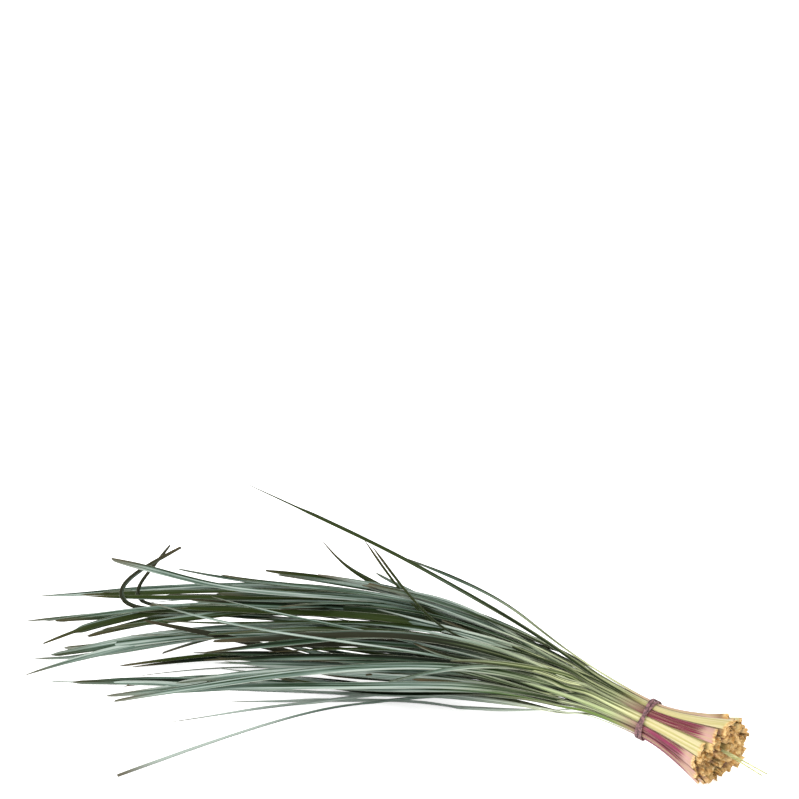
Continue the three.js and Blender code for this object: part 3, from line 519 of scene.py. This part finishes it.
def blade_widths(leaf, wanted, past):
    """A leaf's width at each row beside the room that it has in the frame.

    Width = (1 + waver) * (1 - loss at the neck + gain along the blade) * own share * (1 + far gain)
    * (1 - loss where it narrows), and each of these comes in smoothly past the band."""
    width = 1 + WAVER * gentle_noise(wanted, WAVELENGTH, leaf.random)
    fuller = smoothstep(past, *FULLER) * (1 + 0.5 * smoothstep(past / leaf.past[-1], *FULLEST))
    width *= 1 - (1 - leaf.slim) * (smoothstep(past, *NECK) - fuller)
    width *= 1 + (BLADE_WIDTHS.get(leaf.short, 1) - 1) * smoothstep(past, *OWN)
    width *= 1 + FAR_GAIN * smoothstep(past, *FAR)
    start, end, loss = NARROWED.get(leaf.short, (0, 1, 0))
    return width * (1 - loss * smoothstep(past, start, end))


CURLED_END, ROUGH_END, CRUMPLED_END = 0.022, 0.004, 0.016  # lengths at the cut that each reaches
ROUGHNESS = 0.0004  # of the cut, along the leaf
CREASES = 2.5  # half waves of crumpling from the middle to an edge
ROUND_POWER, SHARP_POWER = 2, 1.25  # of the outline: round at the sheath, keeled along the blade
KEELED = (0.05, 0.2)  # distances from the cut over which it turns from one to the other


def leaf_rows(leaf):
    """A leaf's points, row by row from its cut face to its tip, and each row's distance from the cut.

    Points = outline of the sections, turned, gathered and widened, + roughness * forward at the cut
    + crumple * sin(creases * pi * across) * outward near it, and none below the table."""
    sections = blunted(leaf.sections, BLUNT_TIP if leaf.blunt else FINE_TIP, leaf.random)
    places = along_line(sections.mean(1))
    cut_back = CUT_BACK.get(leaf.short, 0)
    wanted = rows_wanted(places[-1] - cut_back)
    fine = smooth_between(sections, places, cut_back + wanted)
    past = wanted + leaf.past[0] + cut_back
    width = blade_widths(leaf, wanted, past)
    if leaf.short in FACINGS:
        fine = turned(fine, past, np.radians(FACINGS[leaf.short]))
    fine = gathered(fine, leaf.gather * smoothstep(wanted, CURLED_END, 0))
    middle = (fine[:, :1] + fine[:, 2:3]) / 2
    fine = middle + (fine - middle) * width[:, None, None]
    forward = unit(fine[1].mean(0) - fine[0].mean(0))
    rim = [thinned(fine[0], share, depth * forward) for share, depth in RIM]
    sections = np.concatenate([rim, fine])
    wanted = np.concatenate([np.zeros(len(RIM)), wanted])
    rows = outline(sections, ROUND_POWER - (ROUND_POWER - SHARP_POWER) * smoothstep(wanted, *KEELED))
    near_cut = smoothstep(wanted, ROUGH_END, 0)[:, None, None]
    rows = rows + leaf.random.normal(0, ROUGHNESS, AROUND)[:, None] * forward * near_cut
    crumple = np.sin(CREASES * ACROSS * np.pi + leaf.random.uniform(0, 6)) * leaf.crumple
    outward = unit(fine[0, 1] - fine[0, 3])
    rows = rows + (crumple * smoothstep(wanted, CRUMPLED_END, 0)[:, None])[..., None] * outward
    rows[..., 2] = np.maximum(rows[..., 2], 0)
    return rows, wanted


def tube_faces(rows):
    """Quads around and along a closed tube of rows, with both ends closed by strips across them."""
    grid = np.arange(rows * AROUND).reshape(rows, AROUND)
    on = np.roll(grid, -1, axis=1)
    sides = np.stack([grid[:-1], on[:-1], on[1:], grid[1:]], axis=-1).reshape(-1, 4)
    half = AROUND // 2
    column = np.arange(1, half - 1)
    strip = np.stack([column + 1, column, AROUND - column, AROUND - column - 1], axis=-1)
    ends = np.array([[1, 0, AROUND - 1], [half, half - 1, half + 1]])
    last = (rows - 1) * AROUND
    base = strip.tolist() + ends.tolist()
    tip = (last + strip[:, ::-1]).tolist() + (last + ends[:, ::-1]).tolist()
    return sides.tolist() + base + tip


UV_ROWS = 5  # the leaf's length is folded into this many rows of its map
ROW_ENDS, ROW_SIDES = 0.02, 0.05  # left free around each row, as shares of its length and height
SHARP_ANGLE = 32  # between two faces from which on their edge looks sharp


def add_map(mesh, rows):
    """A map for the leaf's surface: its length runs along each of a few rows, and its girth up them."""
    used = np.empty(len(mesh.loops), int)
    mesh.loops.foreach_get("vertex_index", used)
    totals = np.empty(len(mesh.polygons), int)
    mesh.polygons.foreach_get("loop_total", totals)
    corner_row, corner_column = np.divmod(used, AROUND)
    face = np.repeat(np.arange(len(totals)), totals)
    first = np.searchsorted(face, face)
    wraps = (corner_column[first] == AROUND - 1) & (corner_column == 0)
    column = np.where(wraps, AROUND, corner_column)
    per_row = int(np.ceil(rows / UV_ROWS))
    band = np.minimum(corner_row[first] // per_row, UV_ROWS - 1)
    u = ROW_ENDS + (1 - 2 * ROW_ENDS) * (corner_row - band * per_row) / per_row
    v = (band + ROW_SIDES + (1 - 2 * ROW_SIDES) * column / AROUND) / UV_ROWS
    layer = mesh.uv_layers.new(name="OFBake")
    layer.data.foreach_set("uv", np.stack([u, v], axis=1).ravel())


def add_values(mesh, name, values):
    """Stores one number or one vector for each point of a mesh, for its material to read."""
    kind = "FLOAT" if np.ndim(values) == 1 else "FLOAT_VECTOR"
    attribute = mesh.attributes.new(name, kind, "POINT")
    attribute.data.foreach_set("value" if kind == "FLOAT" else "vector", np.ravel(values))


def leaf_mesh(name, rows, cut_rows):
    """A closed leaf from its rows of points; the first cut_rows rows and the cap show the cut flesh."""
    mesh = bpy.data.meshes.new(name)
    mesh.from_pydata(rows.reshape(-1, 3), [], tube_faces(len(rows)))
    slots = np.zeros(len(mesh.polygons), int)
    slots[: cut_rows * AROUND] = 1
    side_count = (len(rows) - 1) * AROUND
    slots[side_count:side_count + AROUND // 2] = 1
    mesh.polygons.foreach_set("material_index", slots)
    mesh.shade_smooth()
    mesh.set_sharp_from_angle(angle=np.radians(SHARP_ANGLE))
    add_map(mesh, len(rows))
    return mesh


# ---- The leaf's finish ----
# The blade is grey-green with a waxy bloom, finely ribbed along its length, with pale dry edges. The
# sheath is cream and yellow-green, flushed pink to magenta where it grew in the light.
DARKENED = 0.82  # the lamps are brighter than daylight on white paper


def shade(code):
    """A colour from its six hexadecimal digits: darkened * linear red, green and blue, and alpha."""
    parts = np.array([int(code[i:i + 2], 16) for i in (0, 2, 4)]) / 255
    linear = np.where(parts < 0.04045, parts / 12.92, ((parts + 0.055) / 1.055) ** 2.4)
    return (*(DARKENED * linear).tolist(), 1)


class Finish:
    """Builds one material: each method adds a node, joins its inputs and returns its output."""

    def __init__(self, name):
        self.material = bpy.data.materials.new(name)
        self.material.use_nodes = True
        self.tree = self.material.node_tree
        self.surface = self.tree.nodes["Principled BSDF"]

    def put(self, socket, value):
        """Sets a socket to a value, or joins another node's output to it."""
        if isinstance(value, bpy.types.NodeSocket):
            self.tree.links.new(value, socket)
        else:
            socket.default_value = value

    def node(self, kind, output, inputs, **settings):
        """The output of a new node, with its settings made and its inputs set or joined."""
        node = self.tree.nodes.new("ShaderNode" + kind)
        for name, value in settings.items():
            setattr(node, name, value)
        for socket, value in inputs.items():
            self.put(node.inputs[socket], value)
        return node.outputs[output]

    def attribute(self, name, output="Fac"):
        """A number, or with "Vector" a vector, that the mesh holds for each of its points."""
        return self.node("Attribute", output, {}, attribute_name=name)

    def place(self):
        """The piece's own x, y and z."""
        return self.node("TexCoord", "Object", {})

    def times(self, a, b, c=0, clamp=False):
        """a * b + c, held between 0 and 1 if clamped."""
        return self.node("Math", 0, {0: a, 1: b, 2: c}, operation="MULTIPLY_ADD", use_clamp=clamp)

    def between(self, value, low, high, to_low=0, to_high=1):
        """The value's smooth step from low to high, as a number from to_low to to_high."""
        inputs = {0: value, 1: low, 2: high, 3: to_low, 4: to_high}
        return self.node("MapRange", 0, inputs, interpolation_type="SMOOTHSTEP")

    def blend(self, share, a, b):
        """(1 - share) * colour a + share * colour b."""
        return self.node("Mix", 2, {0: share, 6: a, 7: b}, data_type="RGBA")

    def noise(self, place, scale, detail=2, roughness=0.5):
        """Cloudy noise of 0 to 1 at a place, each of whose parts is multiplied by its own scale first."""
        stretched = self.node("VectorMath", 0, {0: place, 1: scale}, operation="MULTIPLY")
        inputs = {"Vector": stretched, "Scale": 1, "Detail": detail, "Roughness": roughness}
        return self.node("TexNoise", "Fac", inputs)

    def raised(self, height, depth, strength=1):
        """Bump from a height of 0 to 1, depth metres deep."""
        return self.node("Bump", "Normal", {"Height": height, "Distance": depth, "Strength": strength})

    def finish(self, **sockets):
        """The material, with the named inputs of its surface set."""
        for name, value in sockets.items():
            self.put(self.surface.inputs[name.replace("_", " ")], value)
        return self.material


SHADOW_GREEN, DEEP_GREEN = shade("061103"), shade("1b3117")
BLOOM, PALE_BLOOM = shade("607468"), shade("a7b4aa")
OLIVE, BROWN_GREEN = shade("2a370f"), shade("252618")
YELLOW_GREEN, LIME = shade("aaae62"), shade("76923a")
MOSS, PALE_NECK = shade("263412"), shade("d6dca6")
CREAM, STRAW = shade("d8cc9f"), shade("b5ac6c")
PINK, MAGENTA, MAROON = shade("c59a90"), shade("86284c"), shade("5e272c")
# The darkest umber here is painted shade, for the sheath faces hidden between the cut ends.
OCHRE, UMBER, PAINTED_SHADE_UMBER = shade("f3d18f"), shade("bd8a48"), shade("5f3c1b")
DRY_EDGE, DRY_TIP = shade("cfd4bd"), shade("544a34")


# Streaks and spots of a leaf: how many to a metre along it and across it, and between two leaves.
BROAD_STREAKS, FINE_STREAKS, RIBS = (5, 620, 1), (25, 3200, 1), (12, 5200, 1)
PATCHES, CELLS = (13, 90, 1), (320, 650, 1)
STREAK_CONTRAST, PATCH_CONTRAST = 3.8, 0.8  # how strongly they tell in the bloom
KEEL_BLOOM_AND_FOLD_SHADE, PAINTED_SIDE_LIGHT = 0.3, 0.3  # extra bloom on the keel side, partly its own paler face and partly painted shade left on the fold side, and painted light on one half of each blade
RIB_DEPTH = 0.00015


def leaf_finish():
    """The leaf's material. It reads each leaf's own numbers and its places along and across it.

    Blade = shadow green to pale bloom with bloom = contrast * (streak - 0.5) + tone, with painted light on
    one half of each blade and a keel side lifted partly by its own bloom and partly as painted shade left
    on the fold side, then olive where the leaf is. Towards the band it turns to the neck's moss and pale
    green, with painted shade just inside its edges, past it to the sheath: straw to cream, flushed pink
    and red, dry ochre at the cut that darkens farther in to dark umber as painted shade between the cut
    ends. Edges and tips are dry."""
    f = Finish("leaf")
    fibre = f.attribute("fibre", "Vector")
    past_band, from_cut = f.attribute("past_band"), f.attribute("from_cut")
    edge, outside, lit_side = f.attribute("edge"), f.attribute("outside"), f.attribute("lit_side")
    tone, olive, blush, lime = (f.attribute(name) for name in ("tone", "olive", "blush", "lime"))

    broad, fine = f.noise(fibre, BROAD_STREAKS), f.noise(fibre, FINE_STREAKS)
    patch, cells = f.noise(fibre, PATCHES), f.noise(fibre, CELLS)
    streak = f.times(fine, 0.3, f.times(broad, 0.7))

    bloom = f.times(f.times(streak, 1, -0.5), STREAK_CONTRAST, tone)
    bloom = f.times(f.times(patch, 1, -0.5), PATCH_CONTRAST, bloom)
    # Painted light: one half of each blade is lifted as if lit. The keel side is lifted too, partly for
    # its own paler bloom and partly as painted shade left on the fold side.
    bloom = f.times(lit_side, PAINTED_SIDE_LIGHT, f.times(outside, KEEL_BLOOM_AND_FOLD_SHADE, bloom))
    green = f.blend(f.between(bloom, 0, 0.5), SHADOW_GREEN, DEEP_GREEN)
    blade = f.blend(f.between(bloom, 0.35, 0.9), green, BLOOM)
    blade = f.blend(f.between(bloom, 0.85, 1.4), blade, PALE_BLOOM)
    dull = f.blend(f.between(tone, -0.2, 0.05), BROWN_GREEN, OLIVE)
    olive_share = f.times(olive, f.between(past_band, 0.13, 0.26))
    blade = f.blend(f.times(olive_share, f.between(bloom, 1.1, 0.4)), blade, dull)

    neck = f.between(past_band, 0.03, 0.21, 1, 0)
    neck = f.times(neck, f.between(streak, 0.25, 0.7, 0.55, 1.1), clamp=True)
    neck = f.times(neck, f.between(tone, 0, 0.5, 1.15, 1), clamp=True)
    neck = f.times(neck, f.between(tone, 1, 1.3, 1, 0.4))
    # The neck is paler on the same painted lit half of each blade.
    pale = f.times(lit_side, 0.06, f.times(tone, 0.09, streak))
    pale = f.times(pale, 1, f.between(past_band, 0.02, 0.1, 0.1, 0.025))
    green_neck = f.blend(f.between(pale, 0.46, 0.72), MOSS, PALE_NECK)
    green_neck = f.blend(f.between(lime, 0.3, 0.9, 0, 0.8), green_neck, LIME)
    blade = f.blend(neck, blade, green_neck)
    # Painted shade: a dark line just inside each edge towards the neck, where the neighbouring leaves
    # overlap.
    painted_edge_shade = f.times(f.between(edge, 0.68, 0.9), f.between(past_band, 0.08, 0.25, 0.6, 0.1))
    blade = f.blend(painted_edge_shade, blade, SHADOW_GREEN)

    sheath = f.blend(f.between(streak, 0.35, 0.62), STRAW, CREAM)
    sheath = f.blend(f.between(lime, 0.3, 1, 0, 0.8), sheath, YELLOW_GREEN)
    flush = f.times(blush, f.between(past_band, 0.05, -0.005))
    flush = f.times(flush, f.between(streak, 0.3, 0.6, 0.6, 1))
    sheath = f.blend(f.times(f.between(flush, 0, 0.5), f.between(streak, 0.3, 0.55, 0.5, 1)),
                     sheath, PINK)
    deep_flush = f.times(flush, f.between(from_cut, 0, 0.024))
    deep_flush = f.times(deep_flush, f.between(fine, 0.3, 0.6, 0.55, 1.1))
    red = f.blend(f.between(broad, 0.4, 0.6), MAROON, MAGENTA)
    sheath = f.blend(f.between(deep_flush, 0.2, 0.75), sheath, red)
    browned = f.times(f.attribute("browned"), f.between(streak, 0.3, 0.6, 0.75, 1))
    dried_and_shaded_flesh = f.blend(f.between(cells, 0.35, 0.65), UMBER, OCHRE)
    # Painted shade: farther in from the cut, the cut colour turns dark umber where the cut ends hide one
    # another.
    dried_and_shaded_flesh = f.blend(f.between(from_cut, 0.0015, 0.007, 0, 0.9), dried_and_shaded_flesh, PAINTED_SHADE_UMBER)
    sheath = f.blend(browned, sheath, dried_and_shaded_flesh)

    colour = f.blend(f.between(past_band, -0.012, 0.035), sheath, blade)
    rim = f.times(f.between(edge, 0.93, 0.99), f.between(past_band, 0.02, 0.1, 0, 0.6))
    colour = f.blend(rim, colour, DRY_EDGE)
    dry = f.times(f.attribute("dry"), f.between(patch, 0.35, 0.65, 0.3, 0.9))
    colour = f.blend(dry, colour, DRY_TIP)

    height = f.times(broad, 0.8, f.noise(fibre, RIBS, 1))
    return f.finish(Base_Color=colour, Roughness=f.between(streak, 0.3, 0.7, 0.55, 0.36),
                    Specular_IOR_Level=f.between(bloom, 0.3, 1.1, 0.08, 0.3),
                    Normal=f.raised(height, RIB_DEPTH, 0.8))


def cut_finish():
    """The cut flesh at a leaf's base: ochre and spongy, and brown in stains where it has begun to dry."""
    f = Finish("cut_flesh")
    fibre = f.attribute("fibre", "Vector")
    cells, stain = f.noise(fibre, (500, 900, 7), 3, 0.6), f.noise(fibre, (90, 260, 7))
    colour = f.blend(f.between(cells, 0.3, 0.7), shade("c9964c"), shade("f6dca4"))
    colour = f.blend(f.between(stain, 0.5, 0.72, 0, 0.85), colour, shade("6e4119"))
    return f.finish(Base_Color=colour, Roughness=0.75, Normal=f.raised(cells, 0.0004))


LEAF, CUT = leaf_finish(), cut_finish()

# How flushed and how lime green the sheaths on the near side are; the others differ at random.
SHEATHS = {"thin_high": (0.35, 0), "high_arching": (0.05, 0.1), "s_curved": (0.4, 0),
           "upswept_1": (0.95, 0), "outer_03": (0.1, 0.2), "upswept_2": (0, 0.4),
           "drooping_2": (0.05, 0.3), "drooping_1": (1, 0.6), "outer_04": (1, 0.3),
           "outer_01": (0.7, 0.85), "near_low": (0.9, 0), "outer_02": (0.9, 0), "light_top": (0.1, 0.5),
           "cut_tip_2": (0.1, 0.6), "far_tip_1": (0.1, 0.3)}
# How pale the bloom on a blade is, and how far it is olive or brown instead of grey-green.
# The tones above the rest on the low leaves by the table (stray, pale_low, near_low, resting_1) are partly
# their own pale bloom and partly painted light against the shadow of the bunch above them.
BLADES = {"light_top": (0.55, 0), "stray": (0.95, 0), "pale_low": (1.5, 0), "near_low": (1.2, 0),
          "resting_1": (0.85, 0), "far_tip_1": (0.55, 0), "resting_3": (0.6, 0), "drooping_1": (0.6, 0),
          "drooping_2": (0.4, 0), "cut_tip_1": (0.3, 0.6), "cut_tip_2": (0.2, 0.8),
          "cut_tip_3": (0.4, 0.4), "thin_high": (0.2, 0.3), "high_arching": (0, 1),
          "upswept_1": (-0.05, 1), "upswept_2": (0, 1), "s_curved": (-0.05, 1), "curled_1": (-0.15, 1),
          "curled_2": (-0.15, 1), "folded_tip": (0, 1), "middle_01": (0.1, 1), "middle_02": (0.2, 0.7),
          "middle_03": (0.45, 0.2), "far_tip_2": (0.1, 1), "far_tip_3": (0.3, 0.5)}
THIN_BLADES = {1: (0.8, 0), 2: (0.7, 0), 3: (0.8, 0), 4: (0.7, 0), 5: (0.5, 0.2), 6: (0.65, 0),
               7: (0.2, 1), 8: (0.4, 0.4), 9: (0.1, 1), 10: (0.1, 1), 11: (0.75, 0), 12: (0.7, 0),
               13: (0.7, 0), 14: (-0.2, 1), 15: (-0.2, 1), 16: (-0.2, 1), 21: (0.45, 0), 22: (0.55, 0),
               23: (0.6, 0), 24: (0.5, 0), 25: (0.5, 0), 26: (0.3, 0.7), 27: (0.5, 0.3), 28: (0.4, 0),
               29: (0.4, 0.2), 37: (0.6, 0), 53: (0.7, 0), 62: (0.8, 0)}
BLADES.update({f"thin_{number:02d}": look for number, look in THIN_BLADES.items()})
FRONT = (110, 260)  # clock angles of the places under the band that face the near side
OLIVE_CHANCE = 0.35


def looks_of(leaf):
    """A leaf's own numbers: bloom tone, how olive it is, and how flushed and how lime its sheath is.
    They are its own from the tables above, or a chance value between the least and the most."""
    random = leaf.random
    front = leaf.outer and FRONT[0] < leaf.clock < FRONT[1]
    tone = random.uniform(0.3, 0.85) if front else random.uniform(-0.3, 0.6)
    olive = 0 if front else float(random.random() < OLIVE_CHANCE)
    blush, lime = random.uniform(0, 1) ** 2, random.uniform(0, 0.5)
    blush, lime = SHEATHS.get(leaf.short, (blush, lime))
    tone, olive = BLADES.get(leaf.short, (tone, olive))
    return {"tone": tone, "olive": olive, "blush": blush, "lime": lime}


LEAF_APART = 3.7  # between the streaks of one leaf and the next
DRY_TIP_LENGTH = 0.05
DRIED_AND_SHADED_REACH, OUTER_DRIED_AND_SHADED_REACH = 0.018, 0.004  # from the cut, of the dry cut colour and the painted shade beyond it; the latter on an outer leaf's keel side


def placed(name, data):
    """A new object with a mesh, a lamp or a camera for its data, in the scene."""
    made = bpy.data.objects.new(name, data)
    bpy.context.scene.collection.objects.link(made)
    return made


def make_leaf(leaf, number):
    """One leaf with its mesh, the numbers that its finish reads, and its place in the frame.

    The share of dry cut colour and painted shade = 1 at the cut to 0 at its reach; dry = 0 to 1 over the
    last of the blade."""
    rows, wanted = leaf_rows(leaf)
    mesh = leaf_mesh(leaf.name + "_grown", rows, len(RIM))
    half = np.linalg.norm(rows[:, 0] - rows[:, AROUND // 2], axis=1) / 2
    past_band = np.repeat(wanted + leaf.past[0], AROUND)
    across = (ACROSS * half[:, None]).ravel()
    own_place = np.full(len(across), number * LEAF_APART)
    # The dry cut colour, and the painted shade that darkens it farther in, reach only a little way on an
    # outer leaf's keel side and deep on the faces hidden between the leaves.
    reach = np.where((OUTSIDE > 0) & leaf.outer, OUTER_DRIED_AND_SHADED_REACH, DRIED_AND_SHADED_REACH)
    dry = smoothstep(wanted, wanted[-1] - DRY_TIP_LENGTH, wanted[-1])
    # One half of each blade, chosen at random, is marked for painted light.
    values = {"fibre": np.stack([past_band, across, own_place], axis=1), "past_band": past_band,
              "from_cut": np.repeat(wanted, AROUND), "dry": np.repeat(dry, AROUND),
              "browned": smoothstep(wanted[:, None], reach, 0).ravel(),
              "edge": np.tile(np.abs(ACROSS), len(rows)), "outside": np.tile(OUTSIDE, len(rows)),
              "lit_side": np.tile(ACROSS * leaf.random.choice([-1, 1]), len(rows))}
    values.update({name: np.full(len(across), value) for name, value in looks_of(leaf).items()})
    for name, value in values.items():
        add_values(mesh, name, value)
    mesh.materials.append(LEAF)
    mesh.materials.append(CUT)
    made = placed(leaf.name + "_grown", mesh)
    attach(made, "root")
    if leaf.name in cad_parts:
        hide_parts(leaf.name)


for number, leaf in enumerate(leaves):
    make_leaf(leaf, number)

# ---- The rubber band ----
# A worn mauve-brown rubber band, wound twice, holds the sheaths by its own stretch. It keeps its shape
# in the frame, with its long edges rounded over.
FLAT_WITHIN, SQUARE_WITHIN = 0.7, 0.9  # radians, for two triangles to be joined into one quad
ROUNDING, ROUNDED_ANGLE, ROUNDING_STEPS = 0.00035, 50, 3


def rounded_copy(name, new_name):
    """A copy of a node with its loose triangles joined into quads and its edges rounded."""
    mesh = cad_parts[name].data.copy()
    mesh.name = new_name
    shape = bmesh.new()
    shape.from_mesh(mesh)
    bmesh.ops.remove_doubles(shape, verts=shape.verts, dist=1e-6)
    bmesh.ops.join_triangles(shape, faces=shape.faces, angle_face_threshold=FLAT_WITHIN,
                             angle_shape_threshold=SQUARE_WITHIN)
    shape.to_mesh(mesh)
    shape.free()
    mesh.shade_smooth()
    mesh.materials.clear()
    copy = placed(new_name, mesh)
    bevel = copy.modifiers.new("rounding", "BEVEL")
    bevel.width, bevel.segments, bevel.limit_method = ROUNDING, ROUNDING_STEPS, "ANGLE"
    bevel.angle_limit = np.radians(ROUNDED_ANGLE)
    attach(copy, "root")
    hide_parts(name)
    return copy


def band_finish():
    """Old rubber: dull, mauve-brown, paler where it is worn, and finely pitted all over."""
    f = Finish("old_rubber")
    wear, grain = f.noise(f.place(), (420,) * 3, 3), f.noise(f.place(), (2600,) * 3)
    colour = f.blend(f.between(wear, 0.35, 0.65), shade("4a2c30"), shade("94696c"))
    return f.finish(Base_Color=colour, Roughness=f.between(wear, 0.3, 0.7, 0.6, 0.8),
                    Normal=f.raised(f.times(wear, 1, grain), 0.00015))


band = rounded_copy("rubber_band", "rubber_band_rounded")
band.data.materials.append(band_finish())

# ---- The loose strip of sheath ----
# A thin pale strip torn from a sheath sticks out from among the cut ends, which hold it. It is torn in
# two along its fibres towards its end.
def strip_finish():
    """Torn sheath: pale yellow-green, with fibres along it."""
    f = Finish("torn_sheath")
    fibres = f.noise(f.place(), (60, 1500, 1500))
    colour = f.blend(f.between(fibres, 0.35, 0.65), shade("8f9350"), shade("c9ca90"))
    return f.finish(Base_Color=colour, Roughness=0.6, Normal=f.raised(fibres, 0.0001))


STRIP_WIDTH, STRIP_THICK, STRIP_ROWS = 0.0036, 0.0003, 24
STRIP_TAPER, SHORTER = 0.4, 0.9  # width lost at its end, and the length of its shorter sliver
SPLIT_FROM, SPLIT_GAP = 0.3, 0.0012  # share of its length where it is torn in two, and the gap at its end
STRIP_FACES = (0.1, -0.9, 0.5)


def torn_strip():
    """The strip along its own line in the frame: two slivers that lie together and part at the end.

    A sliver's corner = line + side * (place + half width * taper) +- half thickness * facing."""
    corners = joined_corners("loose_sheath_strip")[0]
    middle = corners.mean(0)
    along = np.linalg.svd(corners - middle)[2][0]
    along *= np.sign((middle - BAND_CENTRE) @ along)
    reach = (corners - middle) @ along
    facing = unit(np.cross(along, np.cross(STRIP_FACES, along)))
    side = np.cross(along, facing)
    share = np.linspace(0, 1, STRIP_ROWS)
    line = middle + (reach.min() + share * np.ptp(reach))[:, None] * along
    spread = SPLIT_GAP * smoothstep(share, SPLIT_FROM, 1.2)
    half = STRIP_WIDTH / 2 * (1 - STRIP_TAPER * share)
    points = []
    for hand, lag in ((-1, 1), (1, SHORTER)):
        middle_line = middle + (line - middle) * lag + side * (hand * (spread + half / 2))[:, None]
        for width, thick in ((-1, -1), (1, -1), (1, 1), (-1, 1)):
            corner = width * (half / 2)[:, None] * side + thick * STRIP_THICK / 2 * facing
            points.append(middle_line + corner)
    grid = np.arange(2 * 4 * STRIP_ROWS).reshape(2, 4, STRIP_ROWS)
    around = np.roll(grid, -1, axis=1)
    sides = np.stack([grid[..., :-1], grid[..., 1:], around[..., 1:], around[..., :-1]], axis=-1)
    ends = [grid[hand, ::step, row].tolist() for hand in (0, 1) for row, step in ((0, 1), (-1, -1))]
    mesh = bpy.data.meshes.new("loose_strip_torn")
    mesh.from_pydata(np.concatenate(points), [], sides.reshape(-1, 4).tolist() + ends)
    mesh.materials.append(strip_finish())
    made = placed("loose_strip_torn", mesh)
    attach(made, "root")
    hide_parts("loose_sheath_strip")


torn_strip()

# ---- The table, the light and the camera ----
# A plain pale table under three wide soft lamps in a white room. The table glows very faintly, so that
# it stays as pale between the leaves as it is away from them.
TABLE_SIZE, TABLE_GLOW = 40, 0.6
LAMP_WIDTH = 30  # degrees of the sky that each lamp fills
ROOM_LIGHT = 0.85

side = TABLE_SIZE / 2
flat = bpy.data.meshes.new("table")
flat.from_pydata([(-side, -side, 0), (side, -side, 0), (side, side, 0), (-side, side, 0)], [],
                 [(0, 1, 2, 3)])
flat.materials.append(Finish("pale_table").finish(
    Base_Color=(0.9, 0.9, 0.9, 1), Roughness=0.9, Emission_Color=(1, 1, 1, 1),
    Emission_Strength=TABLE_GLOW))
sheet = placed("table", flat)


def lamp(name, toward, power):
    """A soft far lamp: its direction of travel and its strength."""
    light = bpy.data.lights.new(name, "SUN")
    light.energy, light.angle = power, np.radians(LAMP_WIDTH)
    placed(name, light).rotation_euler = Vector(toward).to_track_quat("-Z", "Y").to_euler()


lamp("overhead", (0, 0.15, -1), 1.05)
lamp("left_softbox", (0.5, 0.9, -0.75), 1.25)
lamp("right_softbox", (-0.6, 0.8, -0.8), 1.05)
world = bpy.data.worlds.new("studio")
bpy.context.scene.world = world
world.use_nodes = True
sky = world.node_tree.nodes["Background"].inputs
sky["Color"].default_value = (1, 1, 1, 1)
sky["Strength"].default_value = ROOM_LIGHT

camera = placed("camera", bpy.data.cameras.new("camera"))
camera.location = (0.5729, -1.41606, 0.8331)
camera.rotation_euler = np.radians((71, 0, 20))
camera.data.lens = 88.2
bpy.context.scene.camera = camera
bpy.context.scene.view_settings.view_transform = "Standard"
